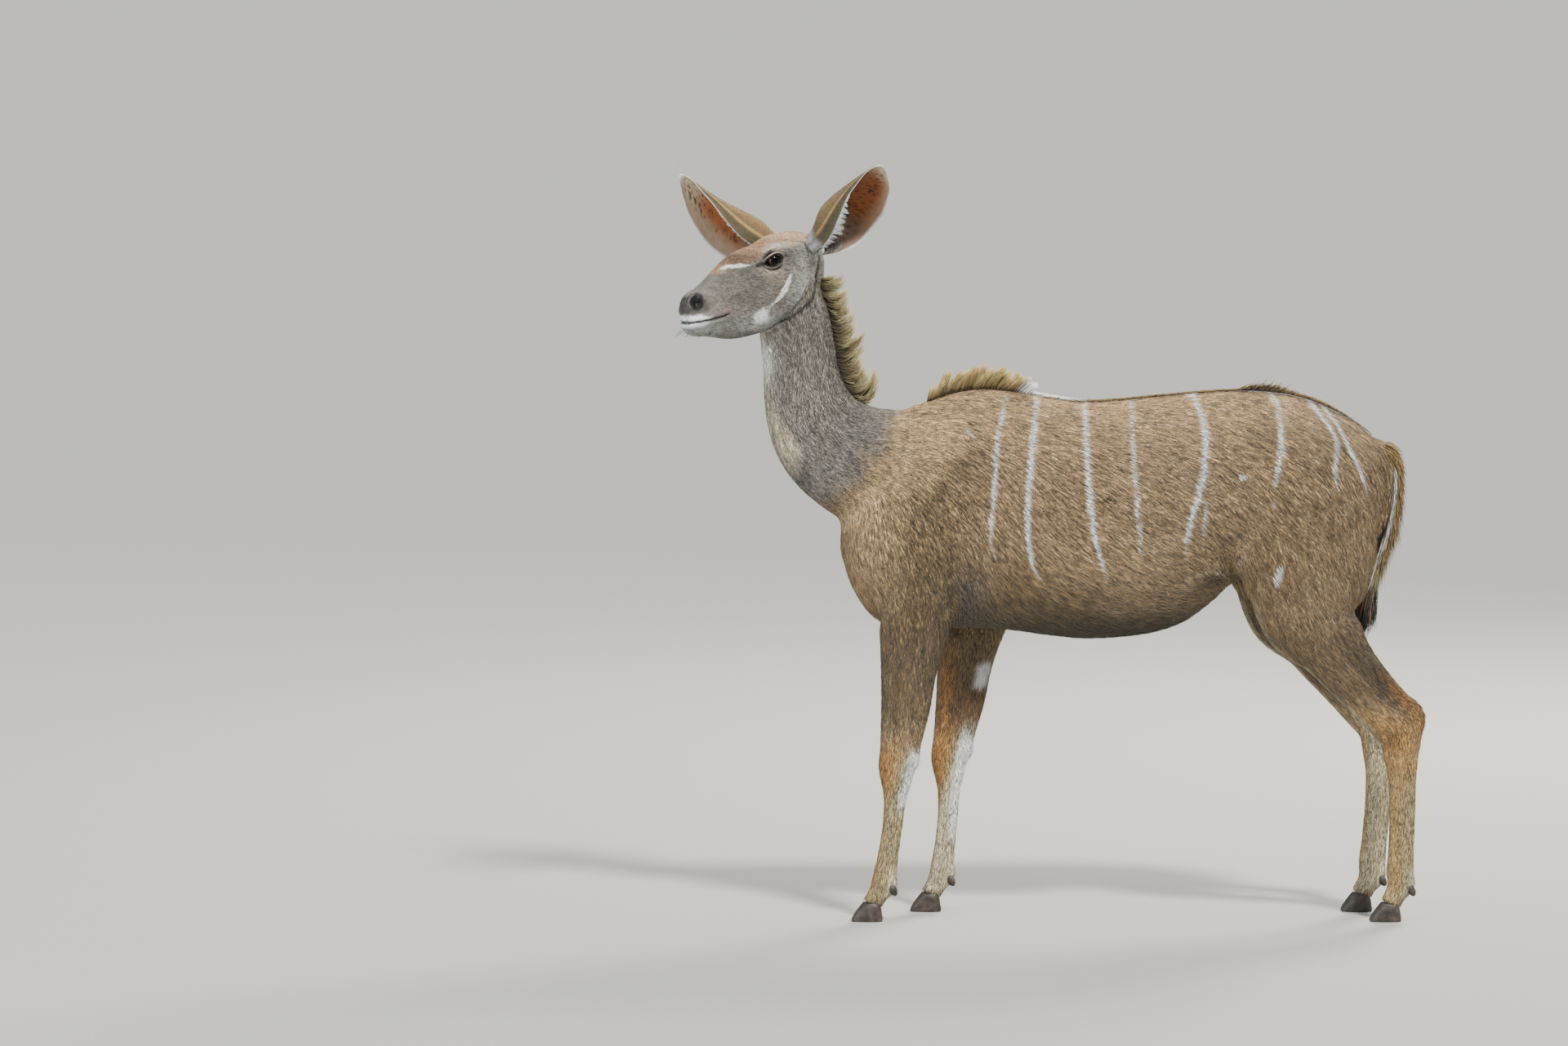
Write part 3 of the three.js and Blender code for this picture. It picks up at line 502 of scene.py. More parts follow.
TAN = ink(0xA88C67)
PALE_TAN = ink(0xCBAA7C)
BROWN = ink(0x776444)
DARK_BROWN = ink(0x443827)
SLATE = ink(0x8B857C)
DARK_SLATE = ink(0x57534E)
FAWN = ink(0xC0995E)
PALE_SHIN = ink(0xAE9E74)
ORANGE = ink(0xA8702F)
CREAM = ink(0xD6CBAE)
WHITE = ink(0xF2F7F8)
RUST = ink(0xB98F68)
EAR_RUST = ink(0x8C5330)
BLACK = ink(0x1C1713)
NOSE = ink(0x2A2422)
PINK = ink(0x8A7670)


@dataclass(frozen=True)
class Stroke:
    """A mark along a line seen from the side, in x and height."""

    line: tuple[Pair, ...]
    width: float
    strength: float = 1.0

    def cover(self, flat: Array) -> Array:
        """How much of the mark lies on each point, from 0 to 1."""
        line = np.array(self.line, float)
        away, share = along_line(flat, line)
        half = self.width / 2 * (0.6 + 0.45 * np.sin(math.pi * share)) * (1 - 0.6 * ramp(share, 0.78, 1))
        fade = self.strength * (1 - 0.45 * ramp(share, 0.86, 1))
        return fade * fall(away, half - 1.5, half + 1.8)


STRIPES = (
    (((-95, 1223), (-117, 1127), (-123, 1046), (-130, 934), (-136, 891), (-120, 847)), 8, 0.9),
    (((-23, 1227), (-31, 1157), (-42, 1065), (-49, 959), (-47, 900), (-39, 843), (-20, 807)), 12),
    (((88, 1222), (88, 1118), (92, 1027), (98, 949), (110, 887), (135, 804)), 11),
    (((195, 1222), (194, 1123), (200, 1046), (204, 974), (210, 900), (214, 857)), 7, 0.75),
    (
        (
            (293, 1237), (340, 1223), (359, 1174), (365, 1120), (360, 1052), (345, 993), (327, 936),
            (319, 896), (317, 853),
        ),
        12,
    ),
    (((366, 985), (357, 900)), 6, 0.6),
    (((512, 1239), (534, 1208), (540, 1155), (539, 1108), (530, 1055), (522, 1018)), 10),
    (((521, 980), (520, 970)), 10, 0.4),
    (
        (
            (600, 1228), (619, 1199), (636, 1178), (655, 1152), (671, 1121), (667, 1078), (663, 1055),
            (667, 1012),
        ),
        8,
    ),
    (((640, 1203), (676, 1155), (697, 1108), (722, 1061), (743, 995)), 8),
    (((444, 1043), (456, 1038)), 11, 0.8), (((538, 834), (524, 787)), 13, 0.9),
    (((-189, 1152), (-172, 1129)), 6, 0.5),
)
SCARS = ((((134, 993), (138, 989)), 17, 0.9), (((-572, 1071), (-568, 1066)), 12, 0.7))
BLADE = ((-178, 1085), (-222, 1029), (-269, 972), (-325, 915))  # behind the shoulder blade's spine
NECK_EDGE = ((900, -520), (950, -492), (997, -468), (1103, -402), (1191, -345), (1240, -318))
CHEVRON = Stroke(((300, 1509), (289, 1516), (270, 1522), (238, 1529), (200, 1531), (180, 1531)), 7.5)
CHEEK_STRIPE = Stroke(((90, 1505), (103, 1477), (117, 1456), (134, 1441)), 10.5)
CHEEK_SPOT = (160, 1414)
FACE_SPOTS = (
    (0x6B655F, 0.6, (235, 1478), (85, 40)), (0x57514B, 0.55, (86, 1562), (15, 30)),
    (0xCDD2CF, 0.8, (44, 1462), (40, 62)), (0xC6CBC8, 0.75, (120, 1396), (100, 22)),
    (0xC4C3BC, 0.85, (16, 1560), (40, 34)), (0xA99A84, 0.6, (112, 1500), (34, 20)),
    (0xD6CBAE, 0.6, (134, 1513), (26, 8)), (0x5B5550, 0.5, (196, 1508), (40, 9)),
)
MOUTH = ((240, 1423), (262, 1415), (290, 1409), (320, 1405), (345, 1401), (370, 1398))
NOSTRIL = (335, 33, 1449)


def nostril_ring(q: Array) -> Array:
    """1 on the rim of the nearer nostril, less inside, from places on the head."""
    ahead, left = q[:, 0] - NOSTRIL[0], np.abs(q[:, 1]) - NOSTRIL[1]
    return np.hypot((0.8 * ahead - 0.6 * left) / 16.5, (q[:, 2] - NOSTRIL[2]) / 17.5)


SLOPES = {Part.TRUNK: 0.62, Part.NECK: 1.15, Part.HEAD: 0.0, Part.TAIL: 1.5, **dict.fromkeys(LEGS, 1.4)}


class Painter:
    """Mixes the coat's colours at points of the body, the same for skin and tufts."""

    def __init__(self, p: Array, part: Array) -> None:
        """Starts with bare tan.

        Args:
            p: places.
            part: the number of each point's part.
        """
        shake = np.column_stack([grain(p, 5, 1), grain(p, 5, 2), grain(p, 5, 3)])
        self.p = p + 1.6 * shake
        self.part = part
        self.colour = np.tile(TAN, (len(p), 1))
        self.bare = np.zeros(len(p))
        self.side = self.p[:, [0, 2]]

    def on(self, *parts: Part) -> Array:
        """1 where a point is on one of the parts."""
        return np.isin(self.part, parts).astype(float)

    def lay(self, ink_colour: Array, mask: Array) -> None:
        """Mixes in a colour where the mask is up."""
        self.colour = blend(self.colour, ink_colour, np.clip(mask, 0, 1)[:, None])

    def near(self, at: Pair, reach: Pair) -> Array:
        """A soft spot seen from the side."""
        return blob(self.side, at, reach)

    def paint(self) -> tuple[Array, Array]:
        """The colours, and how bare of hair and moist each point is."""
        self.trunk()
        self.neck()
        self.legs()
        self.tail()
        self.head()
        slope = np.array([SLOPES[part] for part in PARTS])[self.part]
        mottle = 0.24 * np.tanh(3 * streaks(self.p, slope, 4.6, 5))
        mottle += 0.13 * np.tanh(3 * streaks(self.p, slope, 7.5, 6)) + 0.13 * grain(self.p, 55, 7)
        mottle *= 0.55 + 0.45 * ramp(self.p[:, 2], 330, 450)
        mottle *= 1 - 0.6 * ramp(self.colour.min(axis=1), 0.3, 0.6) - 0.35 * self.on(Part.HEAD)
        return np.clip(self.colour * (1 + mottle)[:, None], 0.004, 0.95), self.bare

    def trunk(self) -> None:
        """Shoulder, barrel and rump, with their stripes."""
        p, z = self.p, self.p[:, 2]
        body = self.on(Part.TRUNK, Part.NECK, *LEGS)
        trunk = self.on(Part.TRUNK)
        self.lay(PALE_TAN, 0.85 * ramp(z, 1040, 1210) * body)
        self.lay(PALE_TAN, self.near((-430, 860), (80, 190)))
        low = ramp(p[:, 0], -330, -230)
        self.lay(BROWN, 0.7 * fall(z, 740, 880) * low * self.on(Part.TRUNK, *FORE))
        self.lay(ink(0x3A3218), 0.9 * fall(z, 660, 770) * low * trunk)
        self.lay(DARK_SLATE, 0.85 * self.near((-188, 772), (42, 72)) * trunk)
        # Painted shade along the crease behind the elbow: a dark stroke laid on the crease's own line.
        elbow = Stroke(((-224, 850), (-226, 780), (-228, 690)), 13, 0.7)
        self.lay(ink(0x3B3226), elbow.cover(self.side) * body)
        self.lay(ink(0xC8A67C), 0.5 * self.near((150, 1175), (170, 26)) * body)
        self.lay(BROWN, 0.45 * self.near((-240, 980), (40, 40)) * body)
        self.lay(BROWN, 0.7 * self.near((-270, 850), (75, 110)) * body)
        # Painted shade in the groove behind the shoulder blade's spine, and a painted highlight on the strip
        # above it.
        away, _ = along_line(self.side, np.array(BLADE))
        self.lay(ink(0x5B4A33), 0.5 * bell(away, 0, 24) * body)
        self.lay(PALE_TAN, 0.5 * bell(away, 36, 16) * (z > 1.1 * p[:, 0] + 1285) * body)
        self.lay(BROWN, 0.5 * self.near((425, 890), (70, 90)) * body)
        self.lay(BROWN, 0.5 * self.near((500, 1130), (50, 50)) * body)
        # Painted shadow where the tail hangs against the thigh.
        self.lay(DARK_BROWN, 0.85 * self.near((708, 716), (26, 15)))
        # Painted shade under the fold of the flank.
        self.lay(DARK_BROWN, 0.8 * self.near((392, 800), (34, 15)) * trunk)
        # Painted highlight: a cream stroke along the lit rim of the flank's fold.
        rim = Stroke(((338, 808), (368, 822), (402, 816), (428, 792)), 6, 0.5)
        self.lay(CREAM, rim.cover(self.side) * trunk)
        spine = bell(p[:, 1], 0, 9) * ramp(z, 1085, 1150) * ramp(p[:, 0], -60, 40)
        self.lay(DARK_BROWN, 0.75 * spine * trunk)
        rump = bell(p[:, 1], 0, 30) * self.near((640, 1190), (100, 60))
        self.lay(DARK_BROWN, 0.8 * rump)
        far = np.where(p[:, 1] > 0, 7.0, 0.0)
        flat = self.side + np.column_stack([far, 0 * far])
        for mark in STRIPES:
            self.lay(WHITE, Stroke(*mark).cover(flat) * body)
        for mark in SCARS:
            self.lay(BLACK, Stroke(*mark).cover(self.side) * (p[:, 1] < 0))

    def neck(self) -> None:
        """Slate sides with a cream throat, fading into the shoulder."""
        p = self.p
        edge = np.array(NECK_EDGE, float)
        line = np.interp(p[:, 2], edge[:, 0], edge[:, 1]) + 24 * grain(p, 55, 8)
        high = self.on(Part.NECK, Part.TRUNK) * ramp(p[:, 2], 930, 1000)
        slate = fall(p[:, 0] - line, -40, 45) * high
        self.lay(SLATE, slate)
        self.lay(DARK_SLATE, 0.6 * slate * self.near((-420, 1090), (60, 110)))
        speck = ramp(grain(p, 4.5, 9), 0.25, 0.7)
        self.lay(DARK_SLATE, 0.4 * speck * slate)
        on_neck = self.on(Part.NECK)
        front = np.interp(p[:, 2], [1000, 1104, 1185, 1290, 1352, 1440], [-600, -590, -655, -662, -668, -664])
        throat = fall(p[:, 0] - front, 2, 34)
        self.lay(CREAM, 0.85 * throat * on_neck * ramp(p[:, 2], 1010, 1090))
        self.lay(WHITE, self.near((-664, 1300), (24, 42)) * on_neck)
        nape = bell(p[:, 1], 0, 14) * ramp(p[:, 0] - front, 110, 150)
        self.lay(DARK_BROWN, 0.6 * nape * on_neck * ramp(p[:, 2], 1180, 1240))

    def legs(self) -> None:
        """Brown above, fawn and orange in front, white inside and behind the knees."""
        for part in LEGS:
            self.leg(part)

    def leg(self, part: Part) -> None:
        """One leg's colours."""
        p, z = self.p, self.p[:, 2]
        here = self.on(part)
        s, angle, _ = LOFTS[part].locate(p)
        back = np.sin(angle)
        outer = np.cos(angle) * (1 if part in (Part.FORE_RIGHT, Part.HIND_RIGHT) else -1)
        front, inner = -back, -outer

        def lay(colour: Array, mask: Array, low: float = -1e4, high: float = 1e4) -> None:
            """Mixes a colour into this leg where the mask is up, between two heights."""
            self.lay(colour, here * mask * self.band(z, low, high))

        if part in FORE:
            lay(BROWN, 0.7 * ramp(z, 420, 520) * fall(z, 700, 860))
            lay(PALE_SHIN, 0.85 * fall(z, 300, 420))
            lay(FAWN, 0.8 * ramp(front, -0.4, 0.5), 300, 430)
            lay(ORANGE, 0.75 * ramp(front, 0.3, 0.85), 290, 400)
            lay(FAWN, 0.9 * ramp(front, 0.55, 0.9), 50, 320)
            lay(ORANGE, 0.5 * ramp(front, 0.75, 0.97), 40, 330)
            lay(BROWN, 0.5 * ramp(front, 0.1, 0.7), 440, 640)
            white = ramp(back - 0.35 * ramp(z, 330, 430) + 0.2 * grain(p, 18, 12), 0.1, 0.5)
            lay(WHITE, 0.95 * white * ramp(inner, -1.2, -0.4), 262, 395)
            streak = ramp(grain(p * (1, 1, 0.45), 5, 13), 0.2, 0.5) * self.band(z, 262, 350)
            lay(DARK_BROWN, 0.75 * streak * white * ramp(outer, 0, 0.5))
            inside = ramp(inner, -0.1, 0.5)
            lay(ink(0x7A5A3E), 0.7 * inside, 430, 560)
            lay(ink(0xB07C40), 0.6 * inside * ramp(front, 0.2, 0.8), 330, 620)
            pale = ramp(back + 1.2 * fall(z, 220, 360), -0.1, 0.5) * fall(z, 350, 430)
            lay(CREAM, 0.85 * inside * pale)
            lay(WHITE, 0.9 * inside * ramp(back, 0.25, 0.7), 180, 420)
            lay(WHITE, 0.8 * inside * ramp(back, 0.45, 0.85), 530, 590)
        else:
            lay(BROWN, 0.45, 500, 690)
            lay(BROWN, 0.7 * ramp(back, 0, 0.9), 520, 650)
            turn = np.abs((np.degrees(angle) + 90) % 360 - 180)
            # Painted shade: dark brown laid in the hollow before the hamstring tendon.
            hollow = LimbSwell((610, 46), (125, 30), 1).lift(s, turn) * ramp(outer, -0.2, 0.2)
            lay(DARK_BROWN, 0.75 * hollow)
            lay(PALE_SHIN, 0.9 * fall(z, 330, 460))
            lay(FAWN, 0.75 * ramp(outer, -0.6, 0) * (1 - hollow), 330, 490)
            lay(ORANGE, 0.5 * self.near((800, 415), (60, 45)) * ramp(outer, -0.6, 0))
            lay(ORANGE, 0.6 * ramp(back, 0.75, 1), 440, 580)
            lay(FAWN, 0.7 * ramp(front + 0.4 * outer, 0.0, 0.8), 50, 360)
            lay(CREAM, 0.6 * ramp(inner, 0.1, 0.7) * fall(z, 420, 560))
            # Painted shade: dark olive-brown on the inner side of the hind legs.
            lay(ink(0x5A4F38), 0.7 * ramp(inner, 0.0, 0.6), 440, 760)
            # Painted highlight: a cream strip down the front edge of the hind legs.
            lay(CREAM, 0.7 * ramp(front, 0.95, 0.995), 430, 740)
        speck = ramp(grain(p * (1, 1, 0.6), 3.4, 11), 0.4, 0.6) * self.band(z, 60, 380)
        lay(DARK_BROWN, 0.65 * speck * ramp(back + 0.4 * outer, -0.6, 0.5))
        lay(BROWN, 0.8 * fall(z, 40, 62))
        lay(CREAM, 0.8 * ramp(back, 0.3, 0.8), 60, 120)

    @staticmethod
    def band(z: Array, low: float, high: float) -> Array:
        """1 between two heights, with soft ends."""
        soft = 0.18 * (high - low)
        return ramp(z, low - soft, low + soft) * fall(z, high - soft, high + soft)

    def tail(self) -> None:
        """Tan outside, white edges, dark under and a black end."""
        here = self.on(Part.TAIL)
        s, angle, _ = LOFTS[Part.TAIL].locate(self.p)
        back = np.sin(angle)
        self.lay(PALE_TAN, here)
        self.lay(WHITE, here * bell(back, -0.15, 0.24) * ramp(s, 60, 110))
        self.lay(DARK_SLATE, here * ramp(-back, 0.5, 0.8))
        self.lay(BLACK, here * ramp(s, 330, 352))

    def head(self) -> None:
        """Rust brow, slate cheeks, and the pale marks of the face."""
        here = self.on(Part.HEAD)
        q = head_place(self.p)
        f, left, z = q[:, 0], np.abs(q[:, 1]), q[:, 2]
        flat = np.column_stack([f, z])

        def spot(at: Pair, reach: Pair) -> Array:
            """A soft spot on the head, seen from its side."""
            return blob(flat, at, reach)

        def lay(colour: Array, mask: Array) -> None:
            """Mixes a colour into the head where the mask is up."""
            self.lay(colour, mask * here)

        lay(SLATE * 0.84, 1)
        edge = np.interp(f, [-20, 60, 110, 180, 300, 350], [1584, 1574, 1568, 1536, 1502, 1474])
        brow = ramp(z - edge + 3 * grain(self.p, 9, 16), -4, 8)
        lay(RUST, brow)
        lay(ink(0xE2C298), 0.8 * brow * spot((95, 1602), (75, 20)))
        lay(ink(0x66503E), 0.85 * brow * spot((205, 1546), (70, 20)) * fall(left, 30, 52))
        for code, share, at, reach in FACE_SPOTS:
            lay(ink(code), share * spot(at, reach))
        speck = ramp(grain(self.p, 3.0, 15), 0.34, 0.62) * here
        lay(DARK_SLATE, 0.7 * speck * (1 - brow) * ramp(f, 320, 240))
        streak = ramp(streaks(self.p, np.full(len(f), 1.2), 3, 17), 0.1, 0.6)
        lay(DARK_SLATE, 0.8 * streak * spot((14, 1566), (34, 30)))
        lay(ink(0xD2D1C8), 0.9 * spot((118, 1577), (36, 10)) * ramp(left, 20, 36))
        lay(WHITE, 0.7 * spot((150, 1570), (16, 9)) * ramp(left, 20, 34))
        lay(WHITE, CHEVRON.cover(flat) * ramp(left, 8, 18))
        lay(WHITE, 0.95 * CHEEK_STRIPE.cover(flat))
        lay(WHITE, 0.35 * Stroke(((132, 1443), (146, 1428), (160, 1414)), 9).cover(flat))
        away = np.hypot((f - CHEEK_SPOT[0]) / 1.15, z - CHEEK_SPOT[1]) + 4 * grain(self.p, 11, 18)
        lay(WHITE, 0.98 * fall(away, 9, 24))
        # Painted shade in the crease behind the jaw.
        jaw = Stroke(((2, 1548), (12, 1500), (28, 1452), (70, 1408), (130, 1378)), 8).cover(flat)
        self.lay(ink(0x35312D), 0.9 * jaw * self.on(Part.HEAD, Part.NECK))
        lips = np.array(MOUTH, float)
        over = z - np.interp(f, lips[:, 0], lips[:, 1])
        fore = ramp(f, 290, 302) * fall(f, 343, 350) * here
        lay(NOSE, 0.5 * ramp(f, 285, 325) * ramp(over, 14, 30))
        # Painted highlight: a grey spot on top of the nose.
        lay(ink(0x8E8983), 0.7 * spot((318, 1470), (30, 12)))
        patch = 7 + 10 * ramp(f, 298, 330)
        lay(WHITE, 0.95 * fore * ramp(over, 0, 4) * fall(over - patch, -4, 3))
        lay(ink(0x959C95), 0.8 * ramp(f, 235, 290) * fall(over, -5, 0))
        lay(WHITE, 0.6 * ramp(f, 285, 320) * fall(over, -5, 0) * ramp(over, -18, -10))
        lay(PINK, 0.85 * spot((258, 1429), (17, 8)))
        lay(BLACK, 0.95 * bell(over, 0, 2.8) * ramp(f, 240, 250))
        front = ramp(f, 337, 345) * here * ramp(z, 1415, 1424) * fall(left, 17, 24)
        lay(NOSE, 0.85 * front)
        hole = nostril_ring(q) + 5 * (f < 300)
        lay(NOSE, fall(hole, 1.1, 1.5))
        # Painted shade deep inside the nostril.
        lay(BLACK * 0.2, fall(hole, 0.85, 1.05))
        eye = np.sqrt(((np.column_stack([f, left, z]) - EYE_PLACE) ** 2).sum(1))
        lay(BLACK, fall(eye, 22.5, 26.5))
        tear = Stroke(((146, 1537), (160, 1533), (172, 1528)), 9).cover(flat)
        lay(BLACK, 0.95 * tear)
        corner = Stroke(((110, 1549), (98, 1552), (88, 1549)), 5).cover(flat)
        lay(BLACK, 0.8 * corner)
        self.bare = np.maximum.reduce([front, fall(hole, 1.0, 1.3) * here, here * (eye < 25)])


# Meshes.


def add_mesh(name: str, verts: Array, faces: list[tuple[int, ...]]) -> Piece:
    """A new object from vertices in millimetres and faces."""
    mesh = bpy.data.meshes.new(name)
    mesh.from_pydata((verts * MM).tolist(), [], faces)
    mesh.update()
    return link(name, mesh)


def add_triangles(name: str, verts: Array, tris: Array) -> Piece:
    """A new object from many triangles, with vertices in millimetres."""
    mesh = bpy.data.meshes.new(name)
    mesh.vertices.add(len(verts))
    mesh.vertices.foreach_set("co", (verts * MM).astype(np.float32).ravel())
    mesh.loops.add(tris.size)
    mesh.loops.foreach_set("vertex_index", tris.astype(np.int32).ravel())
    mesh.polygons.add(len(tris))
    mesh.polygons.foreach_set("loop_start", np.arange(0, tris.size, 3, dtype=np.int32))
    mesh.update(calc_edges=True)
    return link(name, mesh)


def link(name: str, data: bpy.types.ID) -> Piece:
    """Puts a mesh, a light or a camera in the scene."""
    obj = bpy.data.objects.new(name, data)
    bpy.context.scene.collection.objects.link(obj)
    return obj


def only(obj: Piece) -> None:
    """Makes an object the only one selected, and active."""
    bpy.ops.object.select_all(action="DESELECT")
    obj.select_set(True)
    bpy.context.view_layer.objects.active = obj


def apply_modifier(obj: Piece, kind: str, settings: dict[str, object]) -> None:
    """Adds a modifier with its settings and applies it."""
    only(obj)
    modifier = obj.modifiers.new(kind.lower(), kind)
    for key, value in settings.items():
        setattr(modifier, key, value)
    bpy.ops.object.modifier_apply(modifier=modifier.name)


def places_of(mesh: Mesh) -> Array:
    """A mesh's vertices in millimetres."""
    flat = np.zeros(len(mesh.vertices) * 3, np.float32)
    mesh.vertices.foreach_get("co", flat)
    return flat.reshape(-1, 3).astype(float) / MM


def move_to(mesh: Mesh, p: Array) -> None:
    """Moves a mesh's vertices to places in millimetres."""
    mesh.vertices.foreach_set("co", (p * MM).astype(np.float32).ravel())
    mesh.update()


def normals_of(mesh: Mesh) -> Array:
    """A mesh's vertex normals."""
    flat = np.zeros(len(mesh.vertices) * 3, np.float32)
    mesh.vertices.foreach_get("normal", flat)
    return flat.reshape(-1, 3).astype(float)


def tint(mesh: Mesh, colours: Array, bare: Array | None = None) -> None:
    """Stores a colour, and how bare it is, on each vertex."""
    full = np.column_stack([colours, np.ones(len(colours))]).astype(np.float32)
    mesh.color_attributes.new(COAT_NAME, "FLOAT_COLOR", "POINT").data.foreach_set("color", full.ravel())
    if bare is not None:
        layer = mesh.attributes.new("bare", "FLOAT", "POINT")
        layer.data.foreach_set("value", bare.astype(np.float32))


def smooth_shade(obj: Piece) -> None:
    """Shades a piece smooth."""
    only(obj)
    bpy.ops.object.shade_smooth()


def finish_piece(obj: Piece, material: Material) -> None:
    """Gives a piece its finish and lets it ride on the body."""
    obj.data.materials.clear()
    obj.data.materials.append(material)
    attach(obj, BODY)


# Skin.


class Stretch:
    """Widens the head and lower legs while the skin is remeshed, so that their faces come out finer."""

    LOWEST, HIGHEST = -60, 1900

    def __init__(self) -> None:
        """Works out where each height goes."""
        self.z = np.arange(self.LOWEST, self.HIGHEST + 1.0)
        shares = self.share(self.z)
        self.high = self.z[0] + np.concatenate([[0], np.cumsum((shares[1:] + shares[:-1]) / 2)])

    @staticmethod
    def share(z: Array) -> Array:
        """How much wider things are at a height."""
        return 1 + 0.3 * fall(z, 430, 800) + 1.7 * ramp(z, 1150, 1410)

    def out(self, p: Array) -> Array:
        """Points in the wide shape."""
        k = self.share(p[:, 2])
        middle = np.where(p[:, 2] > 1000, POLL[0], 0)
        x = middle + (p[:, 0] - middle) * k
        return np.column_stack([x, p[:, 1] * k, np.interp(p[:, 2], self.z, self.high)])

    def back(self, p: Array) -> Array:
        """Points back in the true shape."""
        z = np.interp(p[:, 2], self.high, self.z)
        k = self.share(z)
        middle = np.where(z > 1000, POLL[0], 0)
        return np.column_stack([middle + (p[:, 0] - middle) / k, p[:, 1] / k, z])


@dataclass(frozen=True)
class LimbSwell:
    """A rise on a limb, by distance along it and degrees from its back, alike on both its sides."""

    at: Pair
    reach: Pair
    rise: float

    def lift(self, s: Array, turn: Array) -> Array:
        """How far it lifts each point outwards."""
        a = (s - self.at[0]) / self.reach[0]
        b = (turn - self.at[1]) / self.reach[1]
        return self.rise * np.exp(-a * a - b * b)


FORE_FORMS = (
    ((528, 180), (30, 70), 3.5),  # knee
    ((512, 0), (18, 45), 6),  # bone behind the knee
    ((560, 90), (26, 40), -1.5),
    ((680, 62), (120, 22), -3),  # groove before the tendons
    ((806, 0), (20, 50), 4),  # fetlock
    ((330, 70), (110, 26), -3),  # groove of the forearm
)
HIND_FORMS = (
    ((660, 42), (75, 24), -9),  # hollow before the hamstring tendon
    ((712, 0), (24, 40), 4),  # point of the hock
    ((735, 110), (30, 40), 3), ((910, 60), (130, 20), -3), ((1092, 0), (20, 50), 4),
    ((480, 70), (90, 30), 4),  # gaskin
)
BODY_CREASES = (
    (BLADE, 32, 9), (((-90, 1120), (-130, 1010), (-150, 880)), 30, 3),
    (((-228, 690), (-226, 780), (-224, 850)), 13, 9),  # behind the elbow
    (((-300, 690), (-330, 760), (-350, 830)), 22, 3),
    (((290, 745), (345, 800), (400, 822), (440, 790)), 16, -5),  # fold of the flank
    (((330, 850), (390, 900), (420, 1000)), 34, 4), (((470, 1190), (560, 1130), (660, 1060)), 40, 3),
    (((700, 1060), (725, 960), (700, 840)), 26, 3.5),
    (((-560, 1190), (-500, 1105), (-440, 1020)), 26, 4),  # along the neck's underside
    (((-592, 1400), (-600, 1300), (-590, 1200)), 20, 2.5),
)
HEAD_FORMS = (
    ((116, 50, 1571), (32, 18, 11), 6.5),  # brow
    ((130, 54, 1515), (30, 16, 9), 2.5),
    ((172, 46, 1527), (16, 16, 10), -3.5),  # tear gland
    ((60, 58, 1455), (38, 30, 42), 4),  # chewing muscle
    ((222, 46, 1440), (26, 20, 18), -3.5), ((250, 20, 1552), (60, 8, 14), 1.5),
    ((36, 50, 1588), (22, 18, 16), 3), ((300, 34, 1440), (12, 16, 26), -2.5),
    ((345, 12, 1448), (10, 10, 12), 2), ((268, 46, 1428), (12, 14, 6), 2.5),
)
HEAD_CREASES = (
    (((2, 1548), (12, 1500), (28, 1452), (70, 1408), (150, 1374)), 11, 6.5),  # behind the jaw
    (((150, 1505), (200, 1478), (260, 1462)), 12, -2.5),  # cheek ridge
    (((150, 1386), (210, 1392), (262, 1406)), 9, 2), (((120, 1518), (150, 1512), (176, 1520)), 4, 1),
    (((270, 1452), (290, 1436), (300, 1424)), 5, 1.4),
)
STEPS = ((712, 720), (-335, 765))  # behind the thigh and before the upper foreleg
STEP_REACH = 75
COAT_DEPTH = {Part.TRUNK: 5.0, Part.NECK: 4.0, Part.HEAD: 1.5, Part.TAIL: 2.0, **dict.fromkeys(LEGS, 3.0)}


